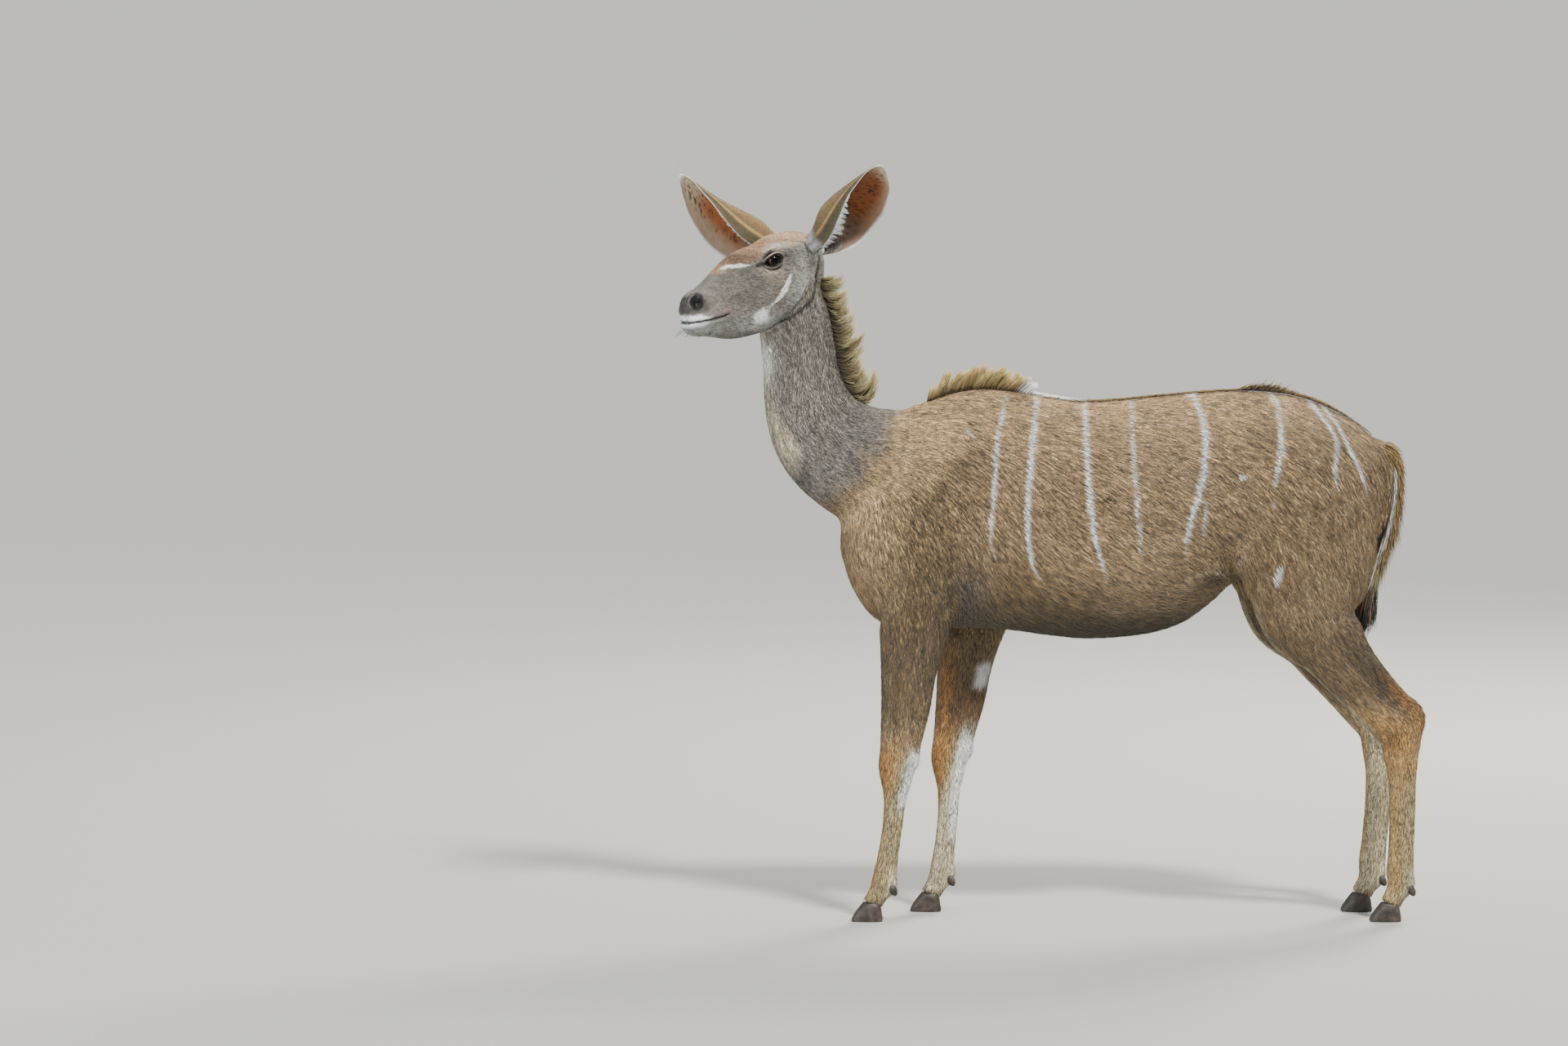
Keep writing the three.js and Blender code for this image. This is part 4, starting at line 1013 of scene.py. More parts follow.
@dataclass
class Hide:
    """The one skin under the whole coat."""

    voxel: float = 8.65
    obj: Piece = None
    points: Array = None
    normals: Array = None
    part: Array = None
    flow: Array = None

    def build(self) -> None:
        """Fuses the parts, rounds their joins, sculpts them and leaves room for the coat."""
        self.fuse()
        mesh = self.obj.data
        p = places_of(mesh)
        edges = np.zeros(len(mesh.edges) * 2, np.int32)
        mesh.edges.foreach_get("vertices", edges)
        self.edges = edges.reshape(-1, 2)
        self.part = self.sort(p)
        p = self.relax(p, np.ones(len(p)), 4)
        p = self.relax(p, self.joins(p), 60)
        steps = [blob(p[:, [0, 2]], at, STEP_REACH) for at in STEPS]
        p = self.relax(p, np.max(steps, axis=0), 110)
        move_to(mesh, p)
        p = self.sculpt(p, normals_of(mesh))
        p = self.relax(p, 0.5 * (self.part != Part.HEAD), 2)
        move_to(mesh, p)
        self.points, self.normals = p, normals_of(mesh)
        self.flow = self.comb(p, self.normals)

    def fuse(self) -> None:
        """Joins every part's sections and the ears' roots into one remeshed surface."""
        stretch = Stretch()
        verts, faces, start = [], [], 0
        lofts = [LOFTS[part] for part in PARTS] + [self.ear_root(side) for side in SIDE_NAMES]
        for loft in lofts:
            fine = 6 if loft is LOFTS[Part.HEAD] else 12
            v, f = loft.shell(max(12, round(loft.length / fine)), 64)
            verts.append(v)
            faces += [tuple(i + start for i in face) for face in f]
            start += len(v)
        self.obj = add_mesh("skin", stretch.out(np.vstack(verts)), faces)
        apply_modifier(self.obj, "REMESH", {"mode": "VOXEL", "voxel_size": self.voxel * MM})
        move_to(self.obj.data, stretch.back(places_of(self.obj.data)))

    @staticmethod
    def ear_root(side: int) -> Loft:
        """The short stalk that carries one ear."""
        pose = EARS[side]
        root, way = pose.root, unit(pose.tip - pose.root)
        rows = [(*(root + way * t), r, r, r) for t, r in ((-30, 20), (0, 24), (30, 23), (52, 14))]
        return Loft(rows, 1.0)

    @staticmethod
    def sort(p: Array) -> Array:
        """The part whose surface each point lies on."""
        heights = np.column_stack([np.abs(LOFTS[part].locate(p)[2]) for part in PARTS])
        return np.argmin(heights, axis=1)

    def neighbours(self, values: Array) -> Array:
        """The mean of each vertex's neighbours."""
        (a, b), n = self.edges.T, len(values)
        count = np.maximum(np.bincount(a, minlength=n) + np.bincount(b, minlength=n), 1)
        sums = [np.bincount(a, v[b], n) + np.bincount(b, v[a], n) for v in values.T]
        return np.column_stack([total / count for total in sums])

    def relax(self, p: Array, weight: Array, rounds: int) -> Array:
        """Evens out the surface where the weight is up, without shrinking it much."""
        for k in range(rounds * 2):
            share = 0.55 if k % 2 == 0 else -0.5
            p = p + (share * weight)[:, None] * (self.neighbours(p) - p)
        return p

    def spread(self, values: Array, rounds: int) -> Array:
        """Blurs values over the surface."""
        for _ in range(rounds):
            values = self.neighbours(values)
        return values

    def joins(self, p: Array) -> Array:
        """1 near where parts meet, but not on the face."""
        masks = np.column_stack([self.part == part for part in PARTS]).astype(float)
        soft = self.spread(masks, 12)
        mixed = 4 * (soft * (1 - soft)).max(axis=1)
        face = (self.part == Part.HEAD) & (head_place(p)[:, 0] > 60)
        return np.where(face, 0, ramp(mixed, 0.02, 0.5))

    def sculpt(self, p: Array, n: Array) -> Array:
        """Adds muscles, tendons, folds and the forms of the face."""
        rise = np.zeros(len(p))
        body = ramp(p[:, 2], 640, 700) * (self.part != Part.HEAD)
        for crease in BODY_CREASES:
            rise += Crease(*crease).lift(p) * body
        for part in LEGS:
            here = self.part == part
            s, angle, _ = LOFTS[part].locate(p[here])
            turn = np.abs((np.degrees(angle) - 90 + 180) % 360 - 180)
            for form in FORE_FORMS if part in FORE else HIND_FORMS:
                rise[here] += LimbSwell(*form).lift(s, turn)
        rise += self.throat(p)
        head = self.part == Part.HEAD
        rise[head] += self.face(p[head])
        depth = np.array([[COAT_DEPTH[part]] for part in PARTS])[self.part]
        p = p + n * (rise[:, None] - self.spread(depth, 10))
        p[head] = self.sockets(p[head])
        return p

    def throat(self, p: Array) -> Array:
        """Fine folds that run from behind the jaw down the upper neck."""
        neck = self.part == Part.NECK
        way = (p[:, 0] + 660) * 0.8 + (p[:, 2] - 1400) * 0.62
        where = bell(p[:, 0], -615, 42) * bell(p[:, 2], 1372, 55)
        fold = np.cos(way / 17 * 2 * math.pi + 2.6 * grain(p, 45, 31))
        return neck * where * (1.2 * fold - 0.5)

    @staticmethod
    def face(p: Array) -> Array:
        """Rises and grooves of the head."""
        q = head_place(p)
        rise = sum(Swell(*form).lift(q) for form in HEAD_FORMS)
        sides = ramp(np.abs(q[:, 1]), 14, 26)
        for crease in HEAD_CREASES:
            rise += Crease(*crease).lift(q) * sides
        f, z = q[:, 0], q[:, 2]
        lips = np.array(MOUTH, float)
        over = z - np.interp(f, lips[:, 0], lips[:, 1])
        mouth = ramp(f, 238, 256)
        rise += mouth * (1.6 * bell(np.abs(over), 8, 5) - 5 * bell(over, 0, 2.6))
        split = bell(q[:, 1], 0, 3) * ramp(f, 335, 345) * ramp(z, 1405, 1415)
        rise -= 2.5 * split * fall(z, 1440, 1450)
        hole = nostril_ring(q)
        rise += ramp(f, 290, 310) * 3.2 * bell(hole, 1.28, 0.26)
        rise -= ramp(f, 290, 310) * 17 * fall(hole, 0.45, 1.1)
        return rise

    @staticmethod
    def sockets(p: Array) -> Array:
        """Draws the skin round the eyes: inside the ball at the opening, over it at the lids."""
        for side in SIDE_NAMES:
            eye = Eye(side)
            across, lift, _ = eye.place(p)
            d = p - eye.centre
            far = np.linalg.norm(d, axis=1)
            rho = eye.opening(across, lift)
            inner, lid = EYE_RADIUS - 5, EYE_RADIUS + 1.8
            target = inner + (lid - inner) * ramp(rho, 0.86, 1.1)
            pull = fall(rho, 1.25, 2.1) * (far < 45) * (d @ eye.out > 0)
            p = p + unit(d) * (pull * (target - far))[:, None]
            near = (far < 45) * ramp(lift, -2, 3)
            fold = 2.0 * bell(rho, 1.72, 0.15) - 1.8 * bell(rho, 2.25, 0.3)
            p = p - unit(d) * (fold * near)[:, None]
            bag = 0.9 * bell(rho, 2.0, 0.15) * (far < 45) * ramp(-lift, 0, 4)
            p = p - unit(d) * bag[:, None]
        return p

    def comb(self, p: Array, n: Array) -> Array:
        """The way that the hair lies at each vertex."""
        way = np.zeros_like(p)
        for part in PARTS:
            here = self.part == part
            s, _, _ = LOFTS[part].locate(p[here])
            along = LOFTS[part].axes(s)[0]
            if part is Part.TRUNK:
                along = self.trunk_lie(p[here])
            elif part in LEGS:
                share = ramp(p[here, 2], 600, 760)[:, None]
                along = along + share * (self.trunk_lie(p[here]) - along)
            elif part is Part.HEAD:
                f = head_place(p[here])[:, 0]
                along = -along - UP * ramp(f, 340, 60)[:, None] * 0.35
            way[here] = along
        way = unit(self.spread(way, 24))
        return unit(way - n * (way * n).sum(axis=1)[:, None])

    @staticmethod
    def trunk_lie(p: Array) -> Array:
        """Back and down, steeper on the shoulder and thigh."""
        total, turn = np.zeros(len(p)), np.zeros(len(p))
        for x, z, degrees in LIE:
            w = 1 / (((p[:, 0] - x) ** 2 + (p[:, 2] - z) ** 2) + 900) ** 1.5
            total += w
            turn += w * math.radians(degrees)
        turn /= total
        return np.column_stack([np.cos(turn), 0 * turn, -np.sin(turn)])


LIE = (
    (-430, 930, 80), (-350, 1100, 50), (-250, 1190, 25), (-200, 1050, 40), (-250, 900, 64), (-330, 800, 76),
    (-150, 780, 62), (-100, 1000, 45), (0, 1150, 26), (0, 950, 40), (0, 750, 30), (150, 1150, 22),
    (150, 950, 33), (150, 720, 20), (300, 1150, 22), (300, 900, 30), (300, 750, 20), (450, 1150, 26),
    (450, 950, 42), (420, 830, 52), (600, 1150, 36), (600, 950, 50), (700, 1050, 62), (740, 950, 76),
    (700, 850, 78), (560, 860, 58), (620, 760, 62), (540, 740, 56), (-310, 700, 84), (-180, 690, 84),
)


# Eyes.


class Eye:
    """One eye's place, opening and way of facing."""

    HALF = 19.5
    UPPER, LOWER = 13.0, 10.5
    SLOPE = 0.3
    POINTED = 1.7

    def __init__(self, side: int) -> None:
        """Sets up the eye of the left (1) or right (-1) side."""
        f, left, z = EYE_PLACE
        self.side = side
        self.name = SIDE_NAMES[side]
        self.centre = on_head(f, side * left, z)
        self.out = unit(LEFTWARD * side + FORWARD * 0.34)
        self.front = unit(FORWARD - self.out * (FORWARD @ self.out))

    def place(self, p: Array) -> tuple[Array, Array, Array]:
        """Points as distances to the front, up and out from the middle of the ball."""
        d = p - self.centre
        return d @ self.front, d @ UP, d @ self.out

    def opening(self, across: Array, lift: Array) -> Array:
        """1 on the edge of the lids, less inside."""
        level = lift + self.SLOPE * across
        high = np.where(level > 0, self.UPPER, self.LOWER)
        powers = (np.abs(across) / self.HALF) ** self.POINTED + (np.abs(level) / high) ** self.POINTED
        return powers ** (1 / self.POINTED)

    def rim(self, a: Array) -> tuple[Array, Array]:
        """Points of the lids' edge on the ball, and the ways outward from the opening."""
        c, n = np.cos(a), np.sin(a)
        power = 2 / self.POINTED
        across = self.HALF * np.sign(c) * np.abs(c) ** power
        level = np.where(n > 0, self.UPPER, self.LOWER) * np.sign(n) * np.abs(n) ** power
        lift = level - self.SLOPE * across
        deep = np.sqrt(np.maximum((EYE_RADIUS + 0.6) ** 2 - across**2 - lift**2, 70))
        flat = self.front * across[:, None] + UP * lift[:, None]
        away = unit(self.front * across[:, None] * 0.6 + UP * (level * 1.5)[:, None])
        return self.centre + flat + self.out * deep[:, None], away

    def ball(self, material: Material) -> None:
        """The eyeball, with a dark brown iris and a level pupil."""
        bpy.ops.mesh.primitive_uv_sphere_add(segments=64, ring_count=40, radius=EYE_RADIUS * MM)
        obj = bpy.context.object
        obj.name = f"eyeball_{self.name}"
        gaze = unit(self.out - UP * 0.04)
        p = places_of(obj.data)
        across, up = p @ self.front, p @ UP
        bulge = 1 + 0.05 * ramp(p @ gaze, 12, 20)
        ring = np.sqrt(across**2 + up**2)
        colour = np.tile(ink(0x0E0907), (len(p), 1))
        amber = ramp(ring, 8, 11) * fall(ring, 13, 15) * ramp(across, 5, 11)
        colour = blend(colour, ink(0x8A5A2C), (0.12 * amber)[:, None])
        pupil = fall(np.hypot(across / 9, up / 5.5), 0.85, 1.1)
        colour *= (1 - 0.95 * pupil)[:, None]
        white = ramp(ring, 15.5, 17.5)
        colour = blend(colour, ink(0x0E0A08), (0.8 * white)[:, None])
        move_to(obj.data, p * bulge[:, None] + self.centre)
        tint(obj.data, colour, np.zeros(len(p)))
        smooth_shade(obj)
        finish_piece(obj, material)
        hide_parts(f"eye_{self.name}")

    def lids(self, material: Material) -> None:
        """Both lids as one rounded rim, dark inside and coated outside."""
        rings, sides = 72, 14
        a = np.arange(rings) * 2 * math.pi / rings
        edge, away = self.rim(a)
        b = np.arange(sides) * 2 * math.pi / sides
        reach = 3.4 - np.cos(b) * 3.4
        rise = 0.1 + np.sin(b) * 1.5 - reach * 0.16
        verts = edge[:, None] + away[:, None] * reach[:, None] + self.out * rise[:, None]
        k, j = np.meshgrid(np.arange(rings), np.arange(sides), indexing="ij")
        k1, j1 = (k + 1) % rings, (j + 1) % sides
        quads = np.stack([k * sides + j, k * sides + j1, k1 * sides + j1, k1 * sides + j], -1)
        if self.side == RIGHT_SIDE:
            quads = quads[..., ::-1]
        flat = verts.reshape(-1, 3)
        obj = add_mesh(f"lids_{self.name}", flat, quads.reshape(-1, 4).tolist())
        head = np.full(len(flat), Part.HEAD)
        colour, _ = Painter(flat + self.out * 4, head).paint()
        dark = np.tile(fall(reach, 3.0, 6.4), rings)
        colour = blend(colour, ink(0x120E0C), dark[:, None])
        tint(obj.data, colour, dark)
        smooth_shade(obj)
        finish_piece(obj, material)


# Ears.


@dataclass(frozen=True)
class EarPose:
    """Where one ear grows, points and faces."""

    side: int
    root: Array
    tip: Array
    face: Array
    sag: Array
    flip: int


EARS = {
    LEFT_SIDE: EarPose(
        LEFT_SIDE, on_head(6, 42, 1582), np.array([-389.0, -200, 1763]), LEFTWARD + FORWARD * 0.22,
        np.array([16.0, 0, -4]), 1,
    ),
    RIGHT_SIDE: EarPose(
        RIGHT_SIDE, on_head(24, -44, 1556), np.array([-855.0, 62, 1734]), FORWARD + LEFTWARD * 0.16,
        np.array([-24.0, 0, -28]), -1,
    ),
}
EAR_SHARES = np.array([0, 0.12, 0.28, 0.42, 0.58, 0.74, 0.88, 0.96, 1])
EAR_TABLE = np.array(
    [
        (26, 30, 2.9, 2.85), (30, 54, 3.15, 2.1), (32, 93, 3.1, 1.5), (31, 101, 2.75, 1.35),
        (28, 95, 2.25, 1.3), (24, 77, 1.75, 1.25), (18, 49, 1.35, 1.2), (11, 26, 1.1, 1.1), (4, 7, 1, 1),
    ],
    float,
)  # radius of the front and back rims, and how far each wraps round
EAR_INSET = 0.6


class Ear:
    """A rolled leaf of skin, open to the side, with its hair."""

    ROWS, COLUMNS = 60, 48

    def __init__(self, pose: EarPose) -> None:
        """Sets up the ear's axes."""
        self.pose = pose
        self.way = unit(pose.tip - pose.root)
        self.length = float(np.linalg.norm(pose.tip - pose.root))
        self.open = unit(pose.face - self.way * (pose.face @ self.way))
        self.across = np.cross(self.way, self.open) * pose.flip
        self.name = SIDE_NAMES[pose.side]

    def surface(self, t: Array, u: Array, inner: Array) -> Array:
        """Places on the ear.

        Args:
            t: share from root to tip.
            u: share from the front rim to the back rim.
            inner: 0 for the outside, 1 for the inside.

        Returns:
            One place for each.
        """
        front, back, front_wrap, back_wrap = smooth(EAR_SHARES, EAR_TABLE, t).T
        angle = -front_wrap + u * (front_wrap + back_wrap)
        radius = front + (back - front) * u * u
        rim = np.abs(u * 2 - 1)
        wall = 3.4 * (1 - 0.55 * rim**3) * (1 - 0.35 * t)
        ripple = 1.1 * np.sin(t * 23 + u * 3) * ramp(rim, 0.8, 1) * ramp(t, 0.2, 0.4)
        veins = 0.9 * np.cos(u * 19 + 2.5 * t) * ramp(0.75 - rim, 0, 0.3) * fall(t, 0.6, 0.85)
        ripple += (1 - inner) * (np.cos(u * 34) - 1) * fall(t, 0.12, 0.26)
        r = radius - EAR_INSET - inner * (wall + veins) + ripple
        lean = self.across * (np.sin(angle) * r + (front - back) * 0.28)[:, None]
        deep = self.open * (front * 0.5 - np.cos(angle) * r)[:, None]
        line = self.pose.root + self.way * (self.length * t)[:, None]
        return line + self.pose.sag * np.sin(math.pi * t)[:, None] + lean + deep

    def normal(self, t: Array, u: Array, inner: Array) -> Array:
        """Outward directions at places on the ear."""
        step = 0.01
        a = self.surface(t + step, u, inner) - self.surface(t - step, u, inner)
        b = self.surface(t, u + step, inner) - self.surface(t, u - step, inner)
        turn = self.pose.flip * np.where(inner > 0.5, -1, 1)
        return unit(np.cross(a, b)) * -turn[:, None]

    def colour(self, t: Array, u: Array, inner: Array, p: Array) -> Array:
        """Rust and speckled inside with pale rims, olive and tan outside, with painted shade inside and at
        the folds of the base.
        """
        rim = np.abs(u * 2 - 1)
        c = np.where(inner[:, None] > 0.5, EAR_RUST, ink(0x62573F))

        def lay(colour: Array, mask: Array) -> None:
            """Mixes in a colour where the mask is up."""
            c[:] = blend(c, colour, np.clip(mask, 0, 1)[:, None])

        inside = (inner > 0.5).astype(float)
        lay(ink(0x6C5A4E), inside * ramp(u, 0.62, 0.82) * fall(t, 0.2, 0.38))
        # Painted shade inside the ear: a dark band along the front rim and a darker patch in the upper bowl.
        lay(ink(0x3A2216), inside * 0.85 * fall(u, 0.22, 0.42) * ramp(t, 0.15, 0.4))
        lay(ink(0x4A3020), inside * 0.6 * bell(t, 0.66, 0.14) * bell(u, 0.45, 0.2))
        lay(CREAM, inside * 0.7 * ramp(t + 0.25 * u, 0.92, 1.15))
        if self.pose.side == RIGHT_SIDE:
            lay(ink(0xA8977C), inside * 0.75 * ramp(u + 0.14 * t, 0.9, 1.02))
            lay(ink(0xA8977C), inside * 0.6 * ramp(t, 0.66, 0.86))
            lay(ink(0x7F7066), inside * 0.7 * fall(t, 0.18, 0.34))
        lay(ink(0xA9937C), inside * 0.6 * ramp(u, 0.88, 0.98) * ramp(t, 0.1, 0.3))
        lay(ink(0xA5887A), inside * 0.7 * ramp(u, 0.6, 0.8) * fall(t, 0.14, 0.26))
        speck = ramp(grain(p, 3.0, 41), 0.2, 0.46) * ramp(0.9 - rim, 0, 0.2)
        lay(BLACK, inside * 0.85 * speck * ramp(grain(p, 30, 43), -0.9, 0.1))
        lay(BLACK, inside * fall(t, 0.0, 0.14))
        outside = 1 - inside
        lay(ink(0x7A5C38), outside * 0.85 * ramp(u, 0.22, 0.34))
        lay(ink(0xC9A25E), outside * 0.8 * bell(u, 0.2, 0.02) * ramp(t, 0.08, 0.2))
        lay(ink(0x453D2C), outside * 0.75 * bell(u, 0.12, 0.07) * ramp(t, 0.05, 0.2))
        lay(ink(0xB29A74), outside * 0.6 * ramp(u, 0.5, 0.8))
        lay(ink(0xB9B8B2), outside * 0.85 * fall(t, 0.06, 0.17))
        # Painted shade: dark stripes that stand for the shade of the folds at the base of the ear's outside.
        fold = ramp(np.cos(u * 34 + 2 * grain(p, 24, 44)), 0.1, 0.8)
        lay(ink(0x55504A), outside * 0.6 * fold * fall(t, 0.12, 0.26))
        lay(WHITE, 0.75 * ramp(rim, 0.96, 0.995) * ramp(t, 0.06, 0.16))
        lay(WHITE, 0.8 * ramp(t, 0.955, 0.99))
        shade = 1 + 0.16 * grain(p, 7, 42)
        return np.clip(c * shade[:, None], 0.003, 0.95)

    def build(self, material: Material) -> None:
        """The leaf itself."""
        rows, columns = self.ROWS, self.COLUMNS
        t, u = np.meshgrid(np.linspace(0, 1, rows + 1), np.linspace(0, 1, columns + 1), indexing="ij")
        t, u = t.ravel(), u.ravel()
        layers = [np.zeros(len(t)), np.ones(len(t))]
        verts = np.vstack([self.surface(t, u, layer) for layer in layers])
        colour = np.vstack([self.colour(t, u, k, self.surface(t, u, k)) for k in layers])
        wide, inner = columns + 1, len(t)
        faces = []
        for i in range(rows):
            for k in range(columns):
                o = i * wide + k
                faces.append((o, o + wide, o + wide + 1, o + 1))
                o += inner
                faces.append((o, o + 1, o + wide + 1, o + wide))
            a, b = i * wide, i * wide + columns
            faces.append((a, inner + a, inner + a + wide, a + wide))
            faces.append((b, b + wide, inner + b + wide, inner + b))
        for k in range(columns):
            b = rows * wide + k
            faces.append((k, k + 1, inner + k + 1, inner + k))
            faces.append((b, inner + b, inner + b + 1, b + 1))
        if self.pose.flip < 0:
            faces = [face[::-1] for face in faces]
        obj = add_mesh(f"ear_skin_{self.name}", verts, faces)
        tint(obj.data, colour, np.zeros(len(verts)))
        smooth_shade(obj)
        finish_piece(obj, material)
        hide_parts(f"ear_{self.name}")


# Hair.

PATCH = 0.0015  # half the size of a tuft on the bake map


@dataclass
class Strands:
    """Many tapering tufts that are closed solids of three sides, kept as arrays."""

    root: Array
    way: Array
    wide: Array
    length: Array
    width: Array | float
    thick: Array | float
    base: Array
    tip: Array
    uv: Array
    bow: Array | None = None
    segments: int = 1
    sink: float = 0.12
    fade: float = 0.8

    def part_of(self, pick: Array | slice) -> "Strands":
        """Some of the strands, or all in another order."""
        chosen = {key: v[pick] for key, v in vars(self).items() if isinstance(v, Array)}
        return replace(self, **chosen)

    def template(self) -> Array:
        """The triangles of one strand."""
        tris = [(0, 2, 1)]
        for k in range(self.segments - 1):
            for j in range(3):
                a, b = k * 3 + j, k * 3 + (j + 1) % 3
                tris += [(a, b, b + 3), (a, b + 3, a + 3)]
        last = (self.segments - 1) * 3
        tris += [(last + j, last + (j + 1) % 3, last + 3) for j in range(3)]
        return np.array(tris)

    def mesh(self, name: str) -> Piece:
        """One object of all the strands, with their colours and bake map."""
        n, per = len(self.root), self.segments * 3 + 1
        verts = np.zeros((n, per, 3))
        colour = np.zeros((n, per, 3))
        place = np.zeros((n, per, 2))
        bow = np.zeros_like(self.way) if self.bow is None else self.bow
        for k in range(self.segments):
            t = k / self.segments
            at = self.root + (self.way * t + bow * t * t) * self.length[:, None]
            if k == 0:
                at = at - self.way * (self.length * self.sink)[:, None]
            line = unit(self.way + 2 * bow * t)
            across = unit(self.wide - line * (self.wide * line).sum(1)[:, None])
            through = np.cross(line, across)
            taper = (1 - t) ** 0.6 if k else 0.85
            for j in range(3):
                a = math.radians(90 + 120 * j)
                wide = np.reshape(math.cos(a) * taper * self.width / 1.73, (-1, 1))
                deep = np.reshape(math.sin(a) * taper * self.thick / 1.5, (-1, 1))
                verts[:, k * 3 + j] = at + across * wide + through * deep
                colour[:, k * 3 + j] = blend(self.base, self.tip, t**self.fade)
                spot = PATCH * (1 - t) * np.array([math.cos(a), math.sin(a)])
                place[:, k * 3 + j] = self.uv + spot
        verts[:, -1] = self.root + (self.way + bow) * self.length[:, None]
        colour[:, -1] = self.tip
        place[:, -1] = self.uv
        tris = (self.template()[None] + (np.arange(n) * per)[:, None, None]).reshape(-1, 3)
        obj = add_triangles(name, verts.reshape(-1, 3), tris)
        tint(obj.data, np.clip(colour.reshape(-1, 3), 0.003, 0.97), np.zeros(n * per))
        layer = obj.data.uv_layers.new(name=BAKE_MAP, do_init=False)
        layer.data.foreach_set("uv", place.reshape(-1, 2)[tris.ravel()].astype(np.float32).ravel())
        return obj


class Atlas:
    """Where each part lies on the bake map: distance along by angle round it."""

    CHARTS = {
        Part.TRUNK: (0.01, 0.01, 0.59, 0.6), Part.HEAD: (0.62, 0.01, 0.99, 0.42),
        Part.NECK: (0.62, 0.44, 0.99, 0.68), Part.FORE_LEFT: (0.01, 0.63, 0.14, 0.99),
        Part.FORE_RIGHT: (0.16, 0.63, 0.29, 0.99), Part.HIND_LEFT: (0.31, 0.63, 0.45, 0.99),
        Part.HIND_RIGHT: (0.47, 0.63, 0.6, 0.99), Part.TAIL: (0.62, 0.7, 0.72, 0.99),
    }
    EAR_CHARTS = {LEFT_SIDE: (0.74, 0.7, 0.86, 0.99), RIGHT_SIDE: (0.88, 0.7, 0.99, 0.99)}
    SEAM = -math.pi / 2

    def place(self, part: Part, s: Array, angle: Array, near: Array | None = None) -> Array:
        """Map places from distances along a part and angles round it.

        Args:
            part: which part.
            s: distances along.
            angle: angles from the side.
            near: angles that these must stay within half a turn of, so that a face isn't torn.

        Returns:
            One map place for each.
        """
        middle = angle if near is None else near
        turned = np.mod(middle - self.SEAM, 2 * math.pi)
        if near is not None:
            turned = turned + np.mod(angle - near + math.pi, 2 * math.pi) - math.pi
        x0, y0, x1, y1 = self.CHARTS[part]
        across = x0 + (x1 - x0) * turned / (2 * math.pi)
        return np.column_stack([across, y0 + (y1 - y0) * s / LOFTS[part].length])

    def ear(self, side: int, t: Array, u: Array, inner: Array) -> Array:
        """Map places on an ear."""
        x0, y0, x1, y1 = self.EAR_CHARTS[side]
        return np.column_stack([x0 + (x1 - x0) * (u + inner) / 2, y0 + (y1 - y0) * t])

    def unwrap(self, hide: Hide) -> None:
        """Gives the skin its map."""
        mesh = hide.obj.data
        total = len(mesh.loops)
        corner = np.zeros(total, np.int32)
        start, count = np.zeros((2, len(mesh.polygons)), np.int32)
        mesh.loops.foreach_get("vertex_index", corner)
        mesh.polygons.foreach_get("loop_start", start)
        mesh.polygons.foreach_get("loop_total", count)
        face = np.repeat(np.arange(len(start)), count)
        middle = np.column_stack([np.bincount(face, v[corner]) / count for v in hide.points.T])
        part = hide.part[corner[start]]
        uv = np.zeros((total, 2))
        for which in PARTS:
            here = part[face] == which
            s, angle, _ = LOFTS[which].locate(hide.points[corner[here]])
            _, near, _ = LOFTS[which].locate(middle)
            uv[here] = self.place(which, s, angle, near[face[here]])
        layer = mesh.uv_layers.new(name=BAKE_MAP, do_init=False)
        layer.data.foreach_set("uv", uv.astype(np.float32).ravel())


@dataclass(frozen=True)
class Nap:
    """The short coat of one part: size of a tuft in millimetres, its cover and how far it stands off."""

    length: float
    width: float
    room: float
    rise: float


NAPS = {
    Part.TRUNK: Nap(19, 3.0, 18.5, 0.11),
    Part.NECK: Nap(11, 2.2, 9.2, 0.12),
    Part.HEAD: Nap(5.6, 1.25, 3.5, 0.12),
    Part.TAIL: Nap(16, 2.4, 8, 0.2),
    **dict.fromkeys(LEGS, Nap(11, 2.2, 10.8, 0.11)),
}
MOST_TUFTS = 48000


